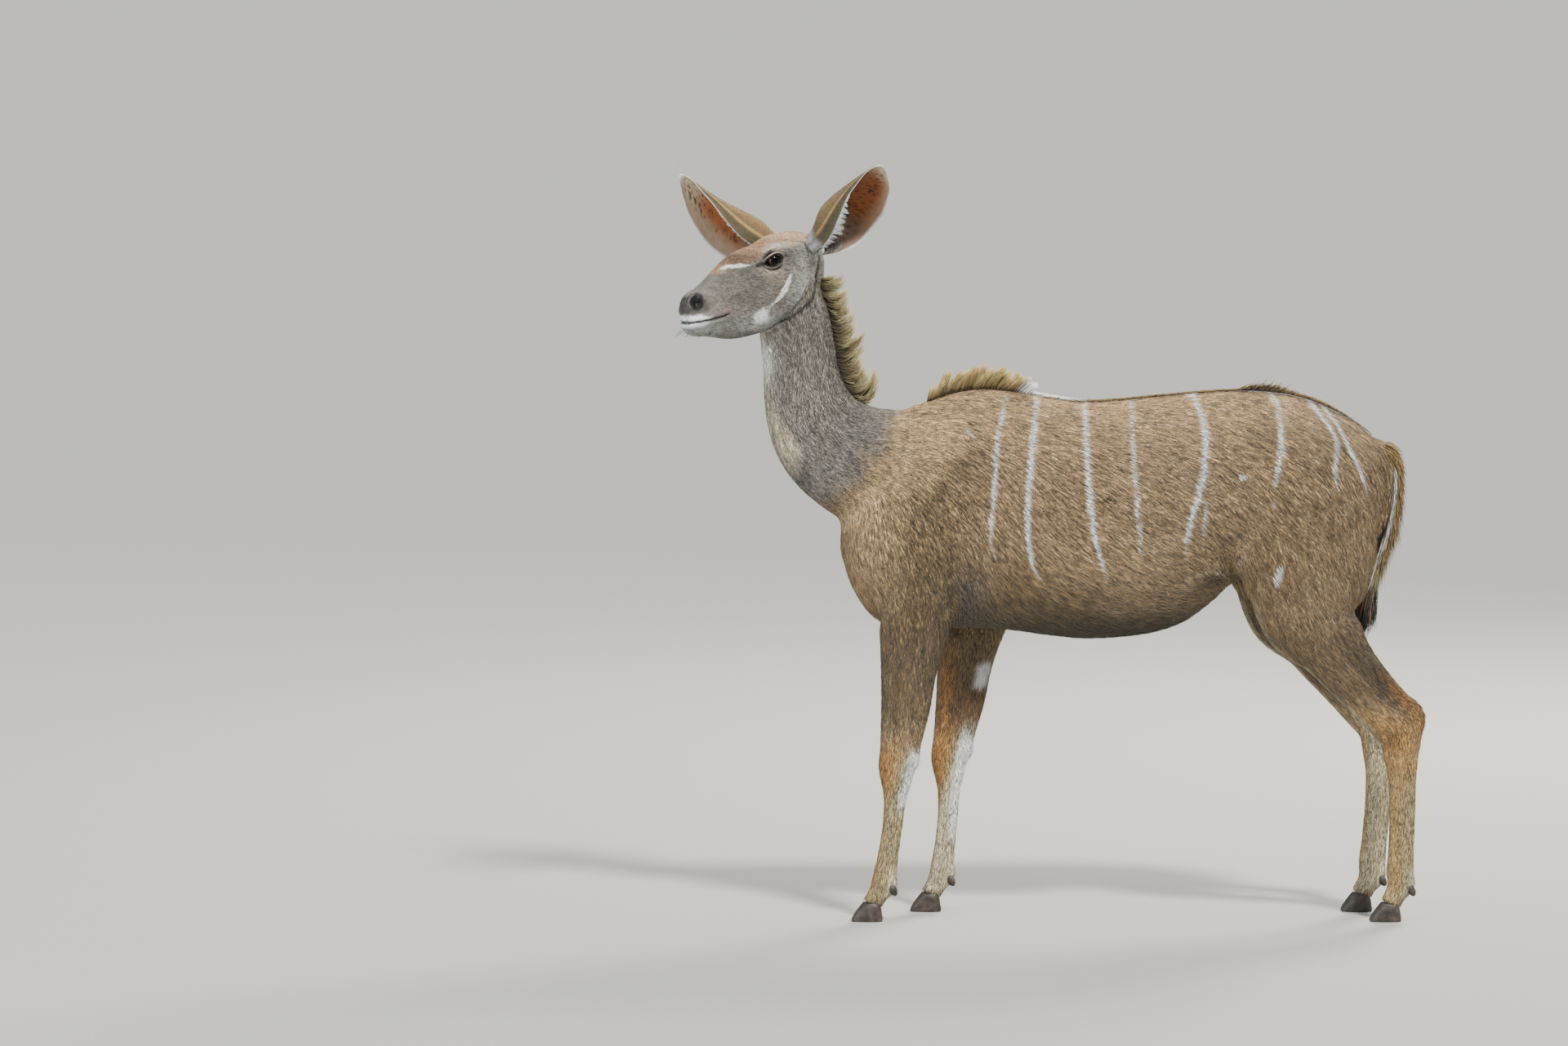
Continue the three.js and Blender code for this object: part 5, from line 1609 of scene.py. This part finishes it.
@dataclass
class ShortCoat:
    """Tufts all over the skin."""

    hide: Hide
    atlas: Atlas
    random: np.random.Generator

    def sample(self) -> tuple[Array, Array, Array, Array]:
        """Random roots: their places, outward directions, ways of lying and parts."""
        hide = self.hide
        mesh = hide.obj.data
        mesh.calc_loop_triangles()
        tris = np.zeros(len(mesh.loop_triangles) * 3, np.int32)
        mesh.loop_triangles.foreach_get("vertices", tris)
        tris = tris.reshape(-1, 3)
        a, b, c = (hide.points[tris[:, i]] for i in range(3))
        area = np.linalg.norm(np.cross(b - a, c - a), axis=1) / 2
        part = hide.part[tris[:, 0]]
        room = np.array([NAPS[p].room for p in PARTS])[part]
        middle = (a + b + c) / 3
        room = room * np.where(self.bare_near(middle), 1e6, 1)
        share = np.cumsum(area / room)
        total = int(share[-1])
        pick = np.searchsorted(share, (np.arange(total) + self.random.random(total)) * share[-1] / total)
        u, v = self.random.random((2, total))
        flip = u + v > 1
        u, v = np.where(flip, 1 - u, u), np.where(flip, 1 - v, v)
        weights = np.stack([1 - u - v, u, v], 1)[..., None]
        corner = tris[pick]

        def mix(values: Array) -> Array:
            """Values at the roots, from those at their triangles' corners."""
            return (values[corner] * weights).sum(axis=1)

        return mix(hide.points), unit(mix(hide.normals)), unit(mix(hide.flow)), part[pick]

    @staticmethod
    def bare_near(p: Array) -> Array:
        """Whether places lie in the eyes, the nostrils, the nose pad or the hooves."""
        bare = p[:, 2] < 38
        for side in SIDE_NAMES:
            eye = Eye(side)
            across, lift, out = eye.place(p)
            bare |= (eye.opening(across, lift) < 1.35) & (out > 0) & (np.abs(across) < 40)
        q = head_place(p)
        bare |= nostril_ring(q) < 1.3
        pad = (q[:, 0] > 338) & (q[:, 2] > 1418) & (q[:, 2] < 1452) & (np.abs(q[:, 1]) < 20)
        bare |= pad & (np.abs(p[:, 2] - POLL[2]) < 200)
        return bare

    def build(self, material: Material) -> None:
        """Makes the tufts, in pieces that stay small enough."""
        root, normal, way, part = self.sample()
        n = len(root)
        draw = self.random.random
        nap = np.array([[NAPS[p].length, NAPS[p].width, NAPS[p].rise] for p in PARTS])[part]
        z = root[:, 2]
        low = ((part == Part.TRUNK) * fall(z, 670, 760))[:, None]
        upper = (np.isin(part, LEGS) * ramp(z, 380, 620))[:, None]
        length = nap[:, 0] * (1 + 0.3 * low + 0.6 * upper)[:, 0] * (0.7 + 0.6 * draw(n))
        muzzle = (part == Part.HEAD) * ramp(head_place(root)[:, 0], 180, 320)
        length *= 1 - 0.45 * muzzle
        width = nap[:, 1] * (1 + 0.3 * upper)[:, 0] * (0.75 + 0.5 * draw(n)) * (1 - 0.25 * muzzle)
        rise = nap[:, 2] * (0.5 + draw(n))
        turn = 0.12 * self.random.standard_normal(n) + 0.1 * grain(root, 30, 51)
        across = np.cross(normal, way)
        lie = way * np.cos(turn)[:, None] + across * np.sin(turn)[:, None]
        lie = unit(lie + normal * rise[:, None])
        wide = unit(np.cross(lie, normal))
        colour, _ = Painter(root + lie * length[:, None] * 0.35, part).paint()
        shade = 1 + 0.3 * (draw(n) - 0.5)
        kind = draw(n)
        pale = ramp(colour.min(axis=1), 0.35, 0.6)
        shade = np.where(kind < 0.26, shade * (0.38 + 0.52 * pale), shade)
        shade = np.where(kind > 0.84, shade * 1.28, shade)
        colour = colour * shade[:, None]
        uv = np.zeros((n, 2))
        for which in PARTS:
            here = part == which
            s, angle, _ = LOFTS[which].locate(root[here])
            uv[here] = self.atlas.place(which, s, angle)
        order = np.argsort(part * 10000 + root[:, 0], kind="stable")
        base = colour * (0.68 + 0.2 * pale)[:, None]
        strands = Strands(root, lie, wide, length, width, 0.26 * width, base, colour * 1.16, uv)
        strands = strands.part_of(order)
        for k, start in enumerate(range(0, n, MOST_TUFTS)):
            piece = strands.part_of(slice(start, start + MOST_TUFTS)).mesh(f"coat_{k + 1}")
            finish_piece(piece, material)
        log.info("%d short tufts", n)


@dataclass
class LongHair:
    """The mane, the crest, the tail and the finer fringes."""

    hide: Hide
    atlas: Atlas
    random: np.random.Generator
    material: Material

    def add(self, name: str, slot: str, strands: Strands) -> None:
        """Makes one piece of hair."""
        finish_piece(strands.mesh(name), self.material)
        log.info("%s: %d strands", name, len(strands.root))

    def topline(
        self, part: Part, count: int, span: Pair, spread: float
    ) -> tuple[Array, ...]:
        """Random roots along the top of a part.

        Args:
            part: which part.
            count: how many roots.
            span: shares of its length between which they grow.
            spread: how far to each side they grow, in radians.

        Returns:
            Share of the span, side offset, root, along, side, top and map place.
        """
        loft = LOFTS[part]
        share = (np.arange(count) + self.random.random(count)) / count
        offset = spread * np.clip(self.random.standard_normal(count) * 0.6, -1.5, 1.5)
        s = loft.length * (span[0] + (span[1] - span[0]) * share)
        angle = math.pi / 2 + offset
        along, side, top = loft.axes(s)
        return share, offset, loft.points(s, angle), along, side, top, self.atlas.place(part, s, angle)

    @staticmethod
    def leaning(top: Array, along: Array, side: Array, lean: Array, splay: Array) -> Array:
        """Ways that lean back from upright and out to the sides."""
        upright = top * np.cos(lean)[:, None] + along * np.sin(lean)[:, None]
        return unit(upright - side * splay[:, None])

    def locks(self, share: Array, offset: Array, count: int) -> tuple[Array, Array, Array]:
        """Gathers roots into locks, on each side of the middle.

        Args:
            share: where along the span each root grows.
            offset: how far to the side.
            count: how many locks there are along the span.

        Returns:
            How far ahead of each root its lock's middle lies, and two random values of its lock.
        """
        row = np.minimum((share * count + 0.5 * (offset > 0)).astype(int), count)
        lock = 2 * row + (offset > 0)
        shift, lean, size = self.random.random((3, 2 * count + 2))
        middle = (row + 0.5 - 0.5 * (offset > 0) + 0.5 * (shift[lock] - 0.5)) / count
        return middle - share, lean[lock], size[lock]

    def mane(self) -> None:
        """Hair of the nape: out and down, then curling up to pale tips."""
        count = 4900
        span = (0.02, 0.66)
        share, offset, root, along, side, top, uv = self.topline(Part.NECK, count, span, 0.11)
        draw = self.random.random
        ahead, tilt, size = self.locks(share, offset, 36)
        lean = 0.62 + 0.55 * (tilt - 0.5) + 0.14 * (draw(count) - 0.5)
        way = self.leaning(top, along, side, lean, offset * 1.1)
        long = 72 * (0.62 + 0.42 * np.sin(math.pi * (0.14 + 0.66 * share))) * (0.6 + 0.6 * size)
        long = long * (0.62 + 0.45 * draw(count))
        run = LOFTS[Part.NECK].length * (span[1] - span[0])
        curl = 0.3 + 0.4 * size + 0.3 * draw(count)
        bow = along * (ahead * run * 0.5 / long - curl)[:, None]
        bow += side * (0.12 * (draw(count) - 0.5))[:, None]
        base = ink(0x3F3522) * (0.5 + 0.7 * draw(count))[:, None]
        pale = blend(ink(0xA8935A), ink(0xE0D4A8), (0.5 * draw(count) + 0.5 * tilt)[:, None])
        tip = pale * (0.75 + 0.4 * draw(count))[:, None]
        width = 1.3 + 0.8 * draw(count)
        hair = Strands(root - top * 5, way, along, long, width, 0.8, base, tip, uv, bow, 6, 0.0, 2.6)
        self.add("mane", "grey_coat", hair)

    def crest(self) -> None:
        """Upright hair over the withers."""
        draw = self.random.random
        count = 4200
        span = (0.163, 0.345)
        share, offset, root, along, side, top, uv = self.topline(Part.TRUNK, count, span, 0.07)
        ahead, tilt, size = self.locks(share, offset, 26)
        lean = 0.08 + 0.6 * share + 0.34 * (tilt - 0.5) + 0.12 * (draw(count) - 0.5)
        way = self.leaning(top, along, side, lean, offset * 1.3)
        long = 60 * (0.4 + 0.6 * np.sin(math.pi * (0.2 + 0.76 * share))) * (0.68 + 0.48 * size)
        long = long * (0.7 + 0.36 * draw(count))
        white = ramp(share, 0.84, 0.97)[:, None]
        base = ink(0x57442A) * (0.6 + 0.6 * draw(count))[:, None]
        gold = blend(ink(0xA88A48), ink(0xE3CF94), (0.45 * draw(count) + 0.35 * tilt)[:, None])
        tip = blend(gold, WHITE, white)
        base = blend(base, WHITE * 0.6, white)
        run = LOFTS[Part.TRUNK].length * (span[1] - span[0])
        bow = along * (0.1 + 0.2 * draw(count) + ahead * run * 0.45 / long)[:, None]
        width = 1.5 + 0.8 * draw(count)
        hair = Strands(root - top * 4, way, along, long, width, 0.8, base, tip, uv, bow, 4, 0.0, 1.5)
        self.add("crest", "body_coat", hair)

    def ridge(self) -> None:
        """The low ridge of hair along the back and rump."""
        draw = self.random.random
        count = 2200
        share, offset, root, along, side, top, uv = self.topline(Part.TRUNK, count, (0.33, 0.97), 0.04)
        high = ramp(share, 0.6, 0.66) * fall(share, 0.7, 0.8)
        stray = high * (draw(count) < 0.06)
        lean = 1.3 - 0.4 * high - 0.3 * stray + 0.25 * (draw(count) - 0.5)
        way = self.leaning(top, along, side, lean, offset)
        long = (12 + 11 * high + 12 * stray) * (0.6 + 0.7 * draw(count)) * (1 - 0.5 * ramp(share, 0.82, 0.95))
        tone = (ramp(share, 0.1, 0.2) * (1 - 0.4 * ramp(share, 0.9, 1)))[:, None]
        base = blend(WHITE * 0.85, DARK_BROWN, tone)
        gold = blend(ink(0x8A6E42), ink(0x4A3B26), high[:, None])
        gold = blend(gold, ink(0xB8984E), stray[:, None])
        tip = blend(WHITE, gold, tone)
        bow = along * np.full((count, 1), 0.12)
        width = 2.2 + draw(count)
        hair = Strands(root - top * 2, way, along, long, width, 0.8, base, tip, uv, bow, 3, 0.0)
        self.add("ridge", "body_coat", hair)

    def tail(self) -> None:
        """Long hair down the tail: tan behind, white at the sides and a black tuft."""
        draw = self.random.random
        count = 5200
        loft = LOFTS[Part.TAIL]
        share = np.sort(np.where(draw(count) < 0.3, 0.84 + 0.16 * draw(count), draw(count)))
        s = loft.length * (0.06 + 0.92 * share)
        angle = draw(count) * 2 * math.pi
        along, side, top = loft.axes(s)
        out = side * np.cos(angle)[:, None] + top * np.sin(angle)[:, None]
        root = loft.points(s, angle) - out * 2
        end = ramp(share, 0.84, 0.9)
        behind = ramp(np.sin(angle), 0.1, 0.7) * (1 - end)
        splay = 0.12 + 0.3 * behind * draw(count) + 0.42 * end * draw(count) + 0.16 * draw(count)
        way = unit(along + out * splay[:, None])
        long = (30 + 46 * ramp(share, 0.05, 0.5) + 30 * end) * (0.5 + 0.65 * draw(count))
        bow = -out * (0.06 + 0.08 * draw(count) + 0.2 * end)[:, None]
        edge = (0.9 * bell(np.sin(angle), -0.15, 0.24) * ramp(share, 0.08, 0.2))[:, None]
        under = ramp(-np.sin(angle), 0.35, 0.6)[:, None] * fall(share, 0.45, 0.75)[:, None]
        tone = (0.5 + 0.8 * draw(count))[:, None]
        c = blend(ink(0x8E7447), WHITE, edge)
        c = blend(c, ink(0xB3AA86), (0.5 * ramp(share, 0.5, 0.75))[:, None])
        c = blend(c, ink(0x3A332A), under)
        black = ramp(share + 0.04 * (draw(count) - 0.5), 0.82, 0.87)[:, None]
        c = c * tone
        ends = blend(ink(0x5A3C22), BLACK, (draw(count) < 0.7)[:, None]) * 1.1
        base = blend(c * 0.7, BLACK, black)
        tip = blend(c * 1.15, ends, black)
        uv = self.atlas.place(Part.TAIL, s, angle)
        wide = unit(np.cross(along, out))
        width = 2.4 + 1.2 * draw(count)
        hair = Strands(root, way, wide, long, width, 1.0, base, tip, uv, bow, 4, 0.0)
        self.add("tail_hair", "tail_coat", hair)

    def ears(self) -> None:
        """Short fur outside the ears, sparse fur inside, and white fringes at the rims."""
        draw = self.random.random
        for side, pose in EARS.items():
            ear = Ear(pose)
            count = 15000
            t, u = 0.02 + 0.97 * draw(count), 0.005 + 0.99 * draw(count)
            keep = draw(count) < np.interp(t, EAR_SHARES, EAR_TABLE[:, 1] / 99)
            t, u = t[keep], u[keep]
            count = len(t)
            inner = (draw(count) < 0.42).astype(float)
            root, normal = ear.surface(t, u, inner), ear.normal(t, u, inner)
            toward = unit(ear.surface(t + 0.01, u, inner) - root)
            rims = np.cross(normal, toward) * (0.5 * (draw(count) - 0.5))[:, None]
            way = unit(toward + rims + normal * (0.1 + 0.12 * draw(count))[:, None])
            colour = ear.colour(t, u, inner, root) * (0.78 + 0.44 * draw(count))[:, None]
            long = np.where(inner > 0.5, 5.5, 7.5) * (0.7 + 0.6 * draw(count)) * (1 - 0.4 * t)
            wide = unit(np.cross(way, normal))
            uv = self.atlas.ear(side, t, u, inner)
            name = f"ear_fur_{ear.name}"
            fur = Strands(root, way, wide, long, 1.3, 0.4, colour * 0.8, colour * 1.12, uv)
            self.add(name, "ear_coat", fur)
            self.fringe(ear)

    def fringe(self, ear: Ear) -> None:
        """White hair inside the front rim, short at the back rim, and a soft tuft at the root."""
        draw = self.random.random
        near = ear.pose.side == LEFT_SIDE
        front, back, foot = 520 if near else 90, 160, 900
        t = np.concatenate([0.08 + 0.57 * draw(front), 0.1 + 0.87 * draw(back), 0.0 + 0.13 * draw(foot)])
        u = np.concatenate([0.005 + 0.05 * draw(front), 0.985 + 0.01 * draw(back), draw(foot)])
        inner = np.concatenate([np.ones(front), np.ones(back), np.zeros(foot)])
        count = len(t)
        root, normal = ear.surface(t, u, inner), ear.normal(t, u, inner)
        toward = unit(ear.surface(t + 0.01, u, inner) - root)
        inward = unit(ear.surface(t, np.where(u < 0.5, u + 0.02, u - 0.02), inner) - root)
        group = np.repeat([0, 1, 2], [front, back, foot])
        tilt = np.array([-1.0, 0.2, 0.0])[group]
        lift = np.array([0.12, 0.2, 0.3])[group]
        clump = (t * 46).astype(int)
        skew, size = draw((2, 60))
        aim = 0.55 + 0.9 * (skew[clump] - 0.5) + 0.2 * (draw(count) - 0.5)
        lift = lift * (0.4 + 1.2 * draw(count))
        way = unit(inward * tilt[:, None] + toward * aim[:, None] + normal * lift[:, None])
        long = np.array([27.0 if near else 9.0, 5.0, 16.0])[group]
        long = long * (0.45 + 0.5 * size[clump] + 0.3 * draw(count))
        long = long * np.where(group == 0, np.sin(math.pi * np.clip((t - 0.06) / 0.56, 0, 1)) * 0.7 + 0.3, 1)
        colour = np.array([WHITE, CREAM, ink(0xB9B8B2)])[group] * (0.75 + 0.35 * draw(count))[:, None]
        uv = self.atlas.ear(ear.pose.side, t, u, inner)
        wide = unit(np.cross(way, normal))
        strands = Strands(root, way, wide, long, 1.2, 0.5, colour * 0.85, colour, uv, None, 3, 0.05)
        self.add(f"ear_fringe_{ear.name}", "ear_coat", strands)

    def face(self) -> None:
        """Lashes and whiskers."""
        draw = self.random.random
        roots, ways, sizes = [], [], []
        for side in SIDE_NAMES:
            eye = Eye(side)
            a = np.linspace(0.35, 2.7, 46) + 0.04 * (draw(46) - 0.5)
            edge, away = eye.rim(a)
            roots.append(edge + away * 2.0 + eye.out * 1.5)
            ways.append(unit(eye.out * 1.2 + away * 0.45 - UP * 0.15 + eye.front * 0.3 * np.cos(a)[:, None]))
            sizes.append(8 + 4 * draw(46))
            count = 26
            f, z = 285 + 62 * draw(count), 1374 + 14 * draw(count)
            place = on_head(f, side * (14 + 10 * draw(count)), z)
            roots.append(place)
            spread = (0.3 + 0.4 * draw(count))[:, None]
            ways.append(unit(-UP * 0.8 + FORWARD * 0.5 + LEFTWARD * side * spread))
            sizes.append(12 + 12 * draw(count))
        root, way, long = np.vstack(roots), np.vstack(ways), np.concatenate(sizes)
        count = len(root)
        colour = np.tile(BLACK, (count, 1))
        s, angle, _ = LOFTS[Part.HEAD].locate(root)
        uv = self.atlas.place(Part.HEAD, s, angle)
        wide, bow = np.tile(FORWARD, (count, 1)), UP * np.full((count, 1), 0.12)
        hair = Strands(root, way, wide, long, 0.7, 0.6, colour, colour, uv, bow, 3, 0.1)
        self.add("lashes", "grey_coat", hair)


# Hooves.


@dataclass(frozen=True)
class Hooves:
    """The claws and dewclaws of one leg."""

    part: Part

    def build(self, material: Material) -> None:
        """Makes both claws and both dewclaws, each for its own node."""
        joints = JOINTS[self.part]
        foot, top = np.array(joints[-2], float), np.array(joints[-1], float)
        leg = self.part.name.lower()
        for sign in (-1, 1):
            which = "outer" if (sign < 0) == (foot[1] < 0) else "inner"
            self.claw(f"{leg}_{which}", top[0] - 47, top[1] + sign * 14.5, material)
            self.dewclaw(f"{leg}_{which}", foot + (24, sign * 15, -14), material)

    @staticmethod
    def claw(name: str, toe: float, y: float, material: Material) -> None:
        """One claw, flat on the floor, with a worn edge and faint rings."""
        rows = [
            (toe + 38, y, 0, 38.5, 31.5, 11.6, 0.7), (toe + 38, y, 1.6, 39.6, 32.6, 12.4, 0.7),
            (toe + 38.4, y, 7, 38, 32.4, 12.8, 0.72), (toe + 39, y, 14, 35, 31, 13, 0.75),
            (toe + 41, y, 27, 28, 27, 12.5, 0.8), (toe + 43, y, HOOF - 2, 23, 22.5, 11.2, 0.85),
            (toe + 43, y, HOOF + 5, 17, 17, 8.5, 0.9),
        ]
        loft = Loft(rows, 0.9, plane=(0, 0, 1))
        verts, faces = loft.shell(26, 36)
        ring = np.sin(verts[:, 2] * 1.25 + 0.03 * verts[:, 0]) * ramp(verts[:, 2], 4, 9)
        middle = np.array([toe + 40, y, 0])
        outward = unit((verts - middle) * (1, 1, 0))
        verts = verts + outward * (0.25 * ring)[:, None]
        obj = add_mesh(f"claw_{name}", verts, faces)
        only(obj)
        bpy.ops.object.shade_smooth_by_angle(angle=math.radians(50))
        finish_piece(obj, material)
        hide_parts(f"hoof_{name}")

    @staticmethod
    def dewclaw(name: str, at: Array, material: Material) -> None:
        """One small claw behind the foot."""
        bpy.ops.mesh.primitive_uv_sphere_add(segments=24, ring_count=16, radius=MM)
        obj = bpy.context.object
        obj.name = f"spur_{name}"
        p = places_of(obj.data) * (9, 8, 15)
        c, s = math.cos(-0.5), math.sin(-0.5)
        turned = np.column_stack([p[:, 0] * c + p[:, 2] * s, p[:, 1], -p[:, 0] * s + p[:, 2] * c])
        move_to(obj.data, turned + at)
        smooth_shade(obj)
        finish_piece(obj, material)
        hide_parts(f"dewclaw_{name}")


# Finishes.


@dataclass(frozen=True)
class Wire:
    """A shader value that takes part in sums."""

    graph: "Graph"
    socket: bpy.types.NodeSocket

    def math(self, operation: str, other: "Wire | float") -> "Wire":
        """One Math node on this value and another."""
        node = self.graph.node("ShaderNodeMath", {"operation": operation}, {0: self, 1: other})
        return Wire(self.graph, node.outputs[0])

    def __add__(self, other: "Wire | float") -> "Wire":
        """Sum."""
        return self.math("ADD", other)

    def __mul__(self, other: "Wire | float") -> "Wire":
        """Product."""
        return self.math("MULTIPLY", other)

    __radd__ = __add__


class Graph:
    """The nodes of one material."""

    def __init__(self, name: str) -> None:
        """Starts an empty material."""
        self.material = bpy.data.materials.new(name)
        self.material.use_nodes = True
        self.tree = self.material.node_tree
        self.tree.nodes.clear()

    def node(self, kind: str, settings: dict[str, object], inputs: dict[object, object]) -> bpy.types.Node:
        """Adds a node.

        Args:
            kind: its type.
            settings: set first; "stops" sets a ramp's places and colours.
            inputs: values, or wires to link.

        Returns:
            The node.
        """
        node = self.tree.nodes.new(kind)
        for key, value in settings.items():
            if key == "stops":
                self.stops(node.color_ramp, value)
            else:
                setattr(node, key, value)
        for key, value in inputs.items():
            if isinstance(value, Wire):
                self.tree.links.new(value.socket, node.inputs[key])
            else:
                node.inputs[key].default_value = value
        return node

    @staticmethod
    def stops(band: bpy.types.ColorRamp, stops: list[tuple[float, Array]]) -> None:
        """Sets a ramp's stops."""
        while len(band.elements) < len(stops):
            band.elements.new(0.5)
        for element, (place, colour) in zip(band.elements, stops):
            element.position = place
            element.color = (*colour, 1)

    def wire(self, node: bpy.types.Node, output: object = 0) -> Wire:
        """One output of a node."""
        return Wire(self, node.outputs[output])

    def stored(self, name: str, output: str) -> Wire:
        """A value stored on the mesh."""
        return self.wire(self.node("ShaderNodeAttribute", {"attribute_name": name}, {}), output)

    def noise(self, scale: float, detail: float) -> Wire:
        """Even noise over the piece's own coordinates."""
        place = self.wire(self.node("ShaderNodeTexCoord", {}, {}), "Object")
        return self.wire(
            self.node("ShaderNodeTexNoise", {}, {"Vector": place, "Scale": scale, "Detail": detail}), "Fac"
        )

    def bump(self, height: Wire, strength: float, distance: float) -> Wire:
        """Small relief."""
        values = {"Height": height, "Strength": strength, "Distance": distance}
        return self.wire(self.node("ShaderNodeBump", {}, values))

    def close(self, inputs: dict[str, object]) -> Material:
        """Ends in one Principled shader."""
        shader = self.node("ShaderNodeBsdfPrincipled", {}, inputs)
        self.node("ShaderNodeOutputMaterial", {}, {"Surface": self.wire(shader)})
        return self.material


@dataclass(frozen=True)
class CoatFinish:
    """Hair in the colours stored on the mesh."""

    name: str
    relief: float
    sheen: float = 0.12

    def make(self) -> Material:
        """The material."""
        g = Graph(self.name)
        rough = 0.86 + g.stored("bare", "Fac") * -0.5
        inputs = {
            "Base Color": g.stored(COAT_NAME, "Color"), "Roughness": rough, "Specular IOR Level": 0.28,
            "Sheen Weight": self.sheen, "Sheen Roughness": 0.5,
        }
        if self.relief:
            inputs["Normal"] = g.bump(g.noise(420, 3), self.relief, 0.0012)
        return g.close(inputs)


@dataclass(frozen=True)
class HornFinish:
    """Dark worn horn."""

    def make(self) -> Material:
        """The material."""
        g = Graph("horn")
        tone = g.noise(70, 4)
        stops = [(0.3, ink(0x1F1A17)), (0.6, ink(0x3A322B)), (0.8, ink(0x5A4F43))]
        colour = g.wire(g.node("ShaderNodeValToRGB", {"stops": stops}, {"Fac": tone}))
        rings = g.bump(g.noise(300, 2), 0.25, 0.0008)
        return g.close({"Base Color": colour, "Roughness": 0.38 + tone * 0.3, "Normal": rings})


@dataclass(frozen=True)
class EyeFinish:
    """Wet and dark."""

    def make(self) -> Material:
        """The material."""
        g = Graph("eye")
        gloss = {"Roughness": 0.1, "Coat Weight": 0.1, "Coat Roughness": 0.02, "Specular IOR Level": 0.1}
        return g.close({"Base Color": g.stored(COAT_NAME, "Color"), **gloss})


@dataclass(frozen=True)
class FloorFinish:
    """Plain and pale."""

    def make(self) -> Material:
        """The material."""
        pale = (0.4, 0.4, 0.388, 1)
        return Graph("floor").close({"Base Color": pale, "Roughness": 0.9, "Specular IOR Level": 0.2})


# Studio.


@dataclass(frozen=True)
class Lamp:
    """One soft light: a disk, or a sun if its size is 0."""

    name: str
    at: Triple
    size: float
    power: float
    colour: Triple
    SOFT_SUN = math.radians(9)

    def make(self, target: Array) -> None:
        """Puts it in the scene, facing the target."""
        data = bpy.data.lights.new(self.name, "AREA" if self.size else "SUN")
        if self.size:
            data.shape = "DISK"
            data.size = self.size
        else:
            data.angle = self.SOFT_SUN
        data.energy = self.power
        data.color = self.colour
        obj = link(self.name, data)
        obj.location = self.at
        way = bpy.context.scene.cursor.location.copy()
        way[:] = target - np.array(self.at)
        obj.rotation_euler = way.to_track_quat("-Z", "Y").to_euler()


LAMPS = (
    Lamp("key", (2.6, -5.0, 7.6), 0, 5.6, (1.0, 0.95, 0.86)),
    Lamp("fill", (-5.5, -5.0, 2.4), 4.0, 300, (0.9, 0.95, 1.0)),
    Lamp("rim", (3.0, 4.6, 4.6), 2.2, 700, (1.0, 0.93, 0.78)),
)


class Studio:
    """Floor, light and camera."""

    CAMERA = (-0.611, -16.0, 2.2)
    AIM_HEIGHT = 0.924
    LENS = 157.9

    def build(self) -> None:
        """Sets up all of it."""
        bpy.ops.mesh.primitive_plane_add(size=1200, location=(0, 0, 0))
        floor = bpy.context.object
        floor.name = "floor"
        floor.data.materials.append(FloorFinish().make())
        for lamp in LAMPS:
            lamp.make(np.array([0.0, 0, 0.95]))
        world = bpy.data.worlds.new("studio")
        world.use_nodes = True
        sky = world.node_tree.nodes["Background"].inputs
        sky["Color"].default_value = (0.78, 0.83, 0.9, 1)
        sky["Strength"].default_value = 0.72
        bpy.context.scene.world = world
        data = bpy.data.cameras.new("camera")
        data.lens = self.LENS
        camera = link("camera", data)
        camera.location = self.CAMERA
        pitch = math.atan2(self.CAMERA[2] - self.AIM_HEIGHT, -self.CAMERA[1])
        camera.rotation_euler = (math.pi / 2 - pitch, 0, 0)
        bpy.context.scene.camera = camera


FLESH_NODES = ("torso", "neck", "head", "tail")


def flesh_nodes() -> list[str]:
    """The nodes that the one skin stands for."""
    names = list(FLESH_NODES)
    for part in LEGS:
        leg = part.name.lower()
        upper = "forearm" if part in FORE else "thigh"
        names += [f"{upper}_{leg}", f"cannon_{leg}", f"pastern_{leg}"]
    return names


def main() -> None:
    """Builds the kudu and its studio."""
    logging.basicConfig(level=logging.INFO, format="%(relativeCreated)d %(message)s")
    random = np.random.default_rng(SEED)
    skin_coat = CoatFinish("skin_coat", 0.35).make()
    fur = CoatFinish("fur", 0.0).make()
    hide, atlas = Hide(), Atlas()
    hide.build()
    log.info("skin: %d vertices", len(hide.points))
    colour, bare = Painter(hide.points, hide.part).paint()
    tint(hide.obj.data, colour, bare)
    atlas.unwrap(hide)
    smooth_shade(hide.obj)
    finish_piece(hide.obj, skin_coat)
    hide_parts(*flesh_nodes())
    eye_finish = EyeFinish().make()
    for side in SIDE_NAMES:
        eye = Eye(side)
        eye.ball(eye_finish)
        eye.lids(skin_coat)
        Ear(EARS[side]).build(skin_coat)
    horn = HornFinish().make()
    for part in LEGS:
        Hooves(part).build(horn)
    log.info("eyes, ears and hooves")
    ShortCoat(hide, atlas, random).build(fur)
    hair = LongHair(hide, atlas, random, fur)
    hair.mane()
    hair.crest()
    hair.ridge()
    hair.tail()
    hair.ears()
    hair.face()
    Studio().build()


if __name__ == "__main__":
    main()
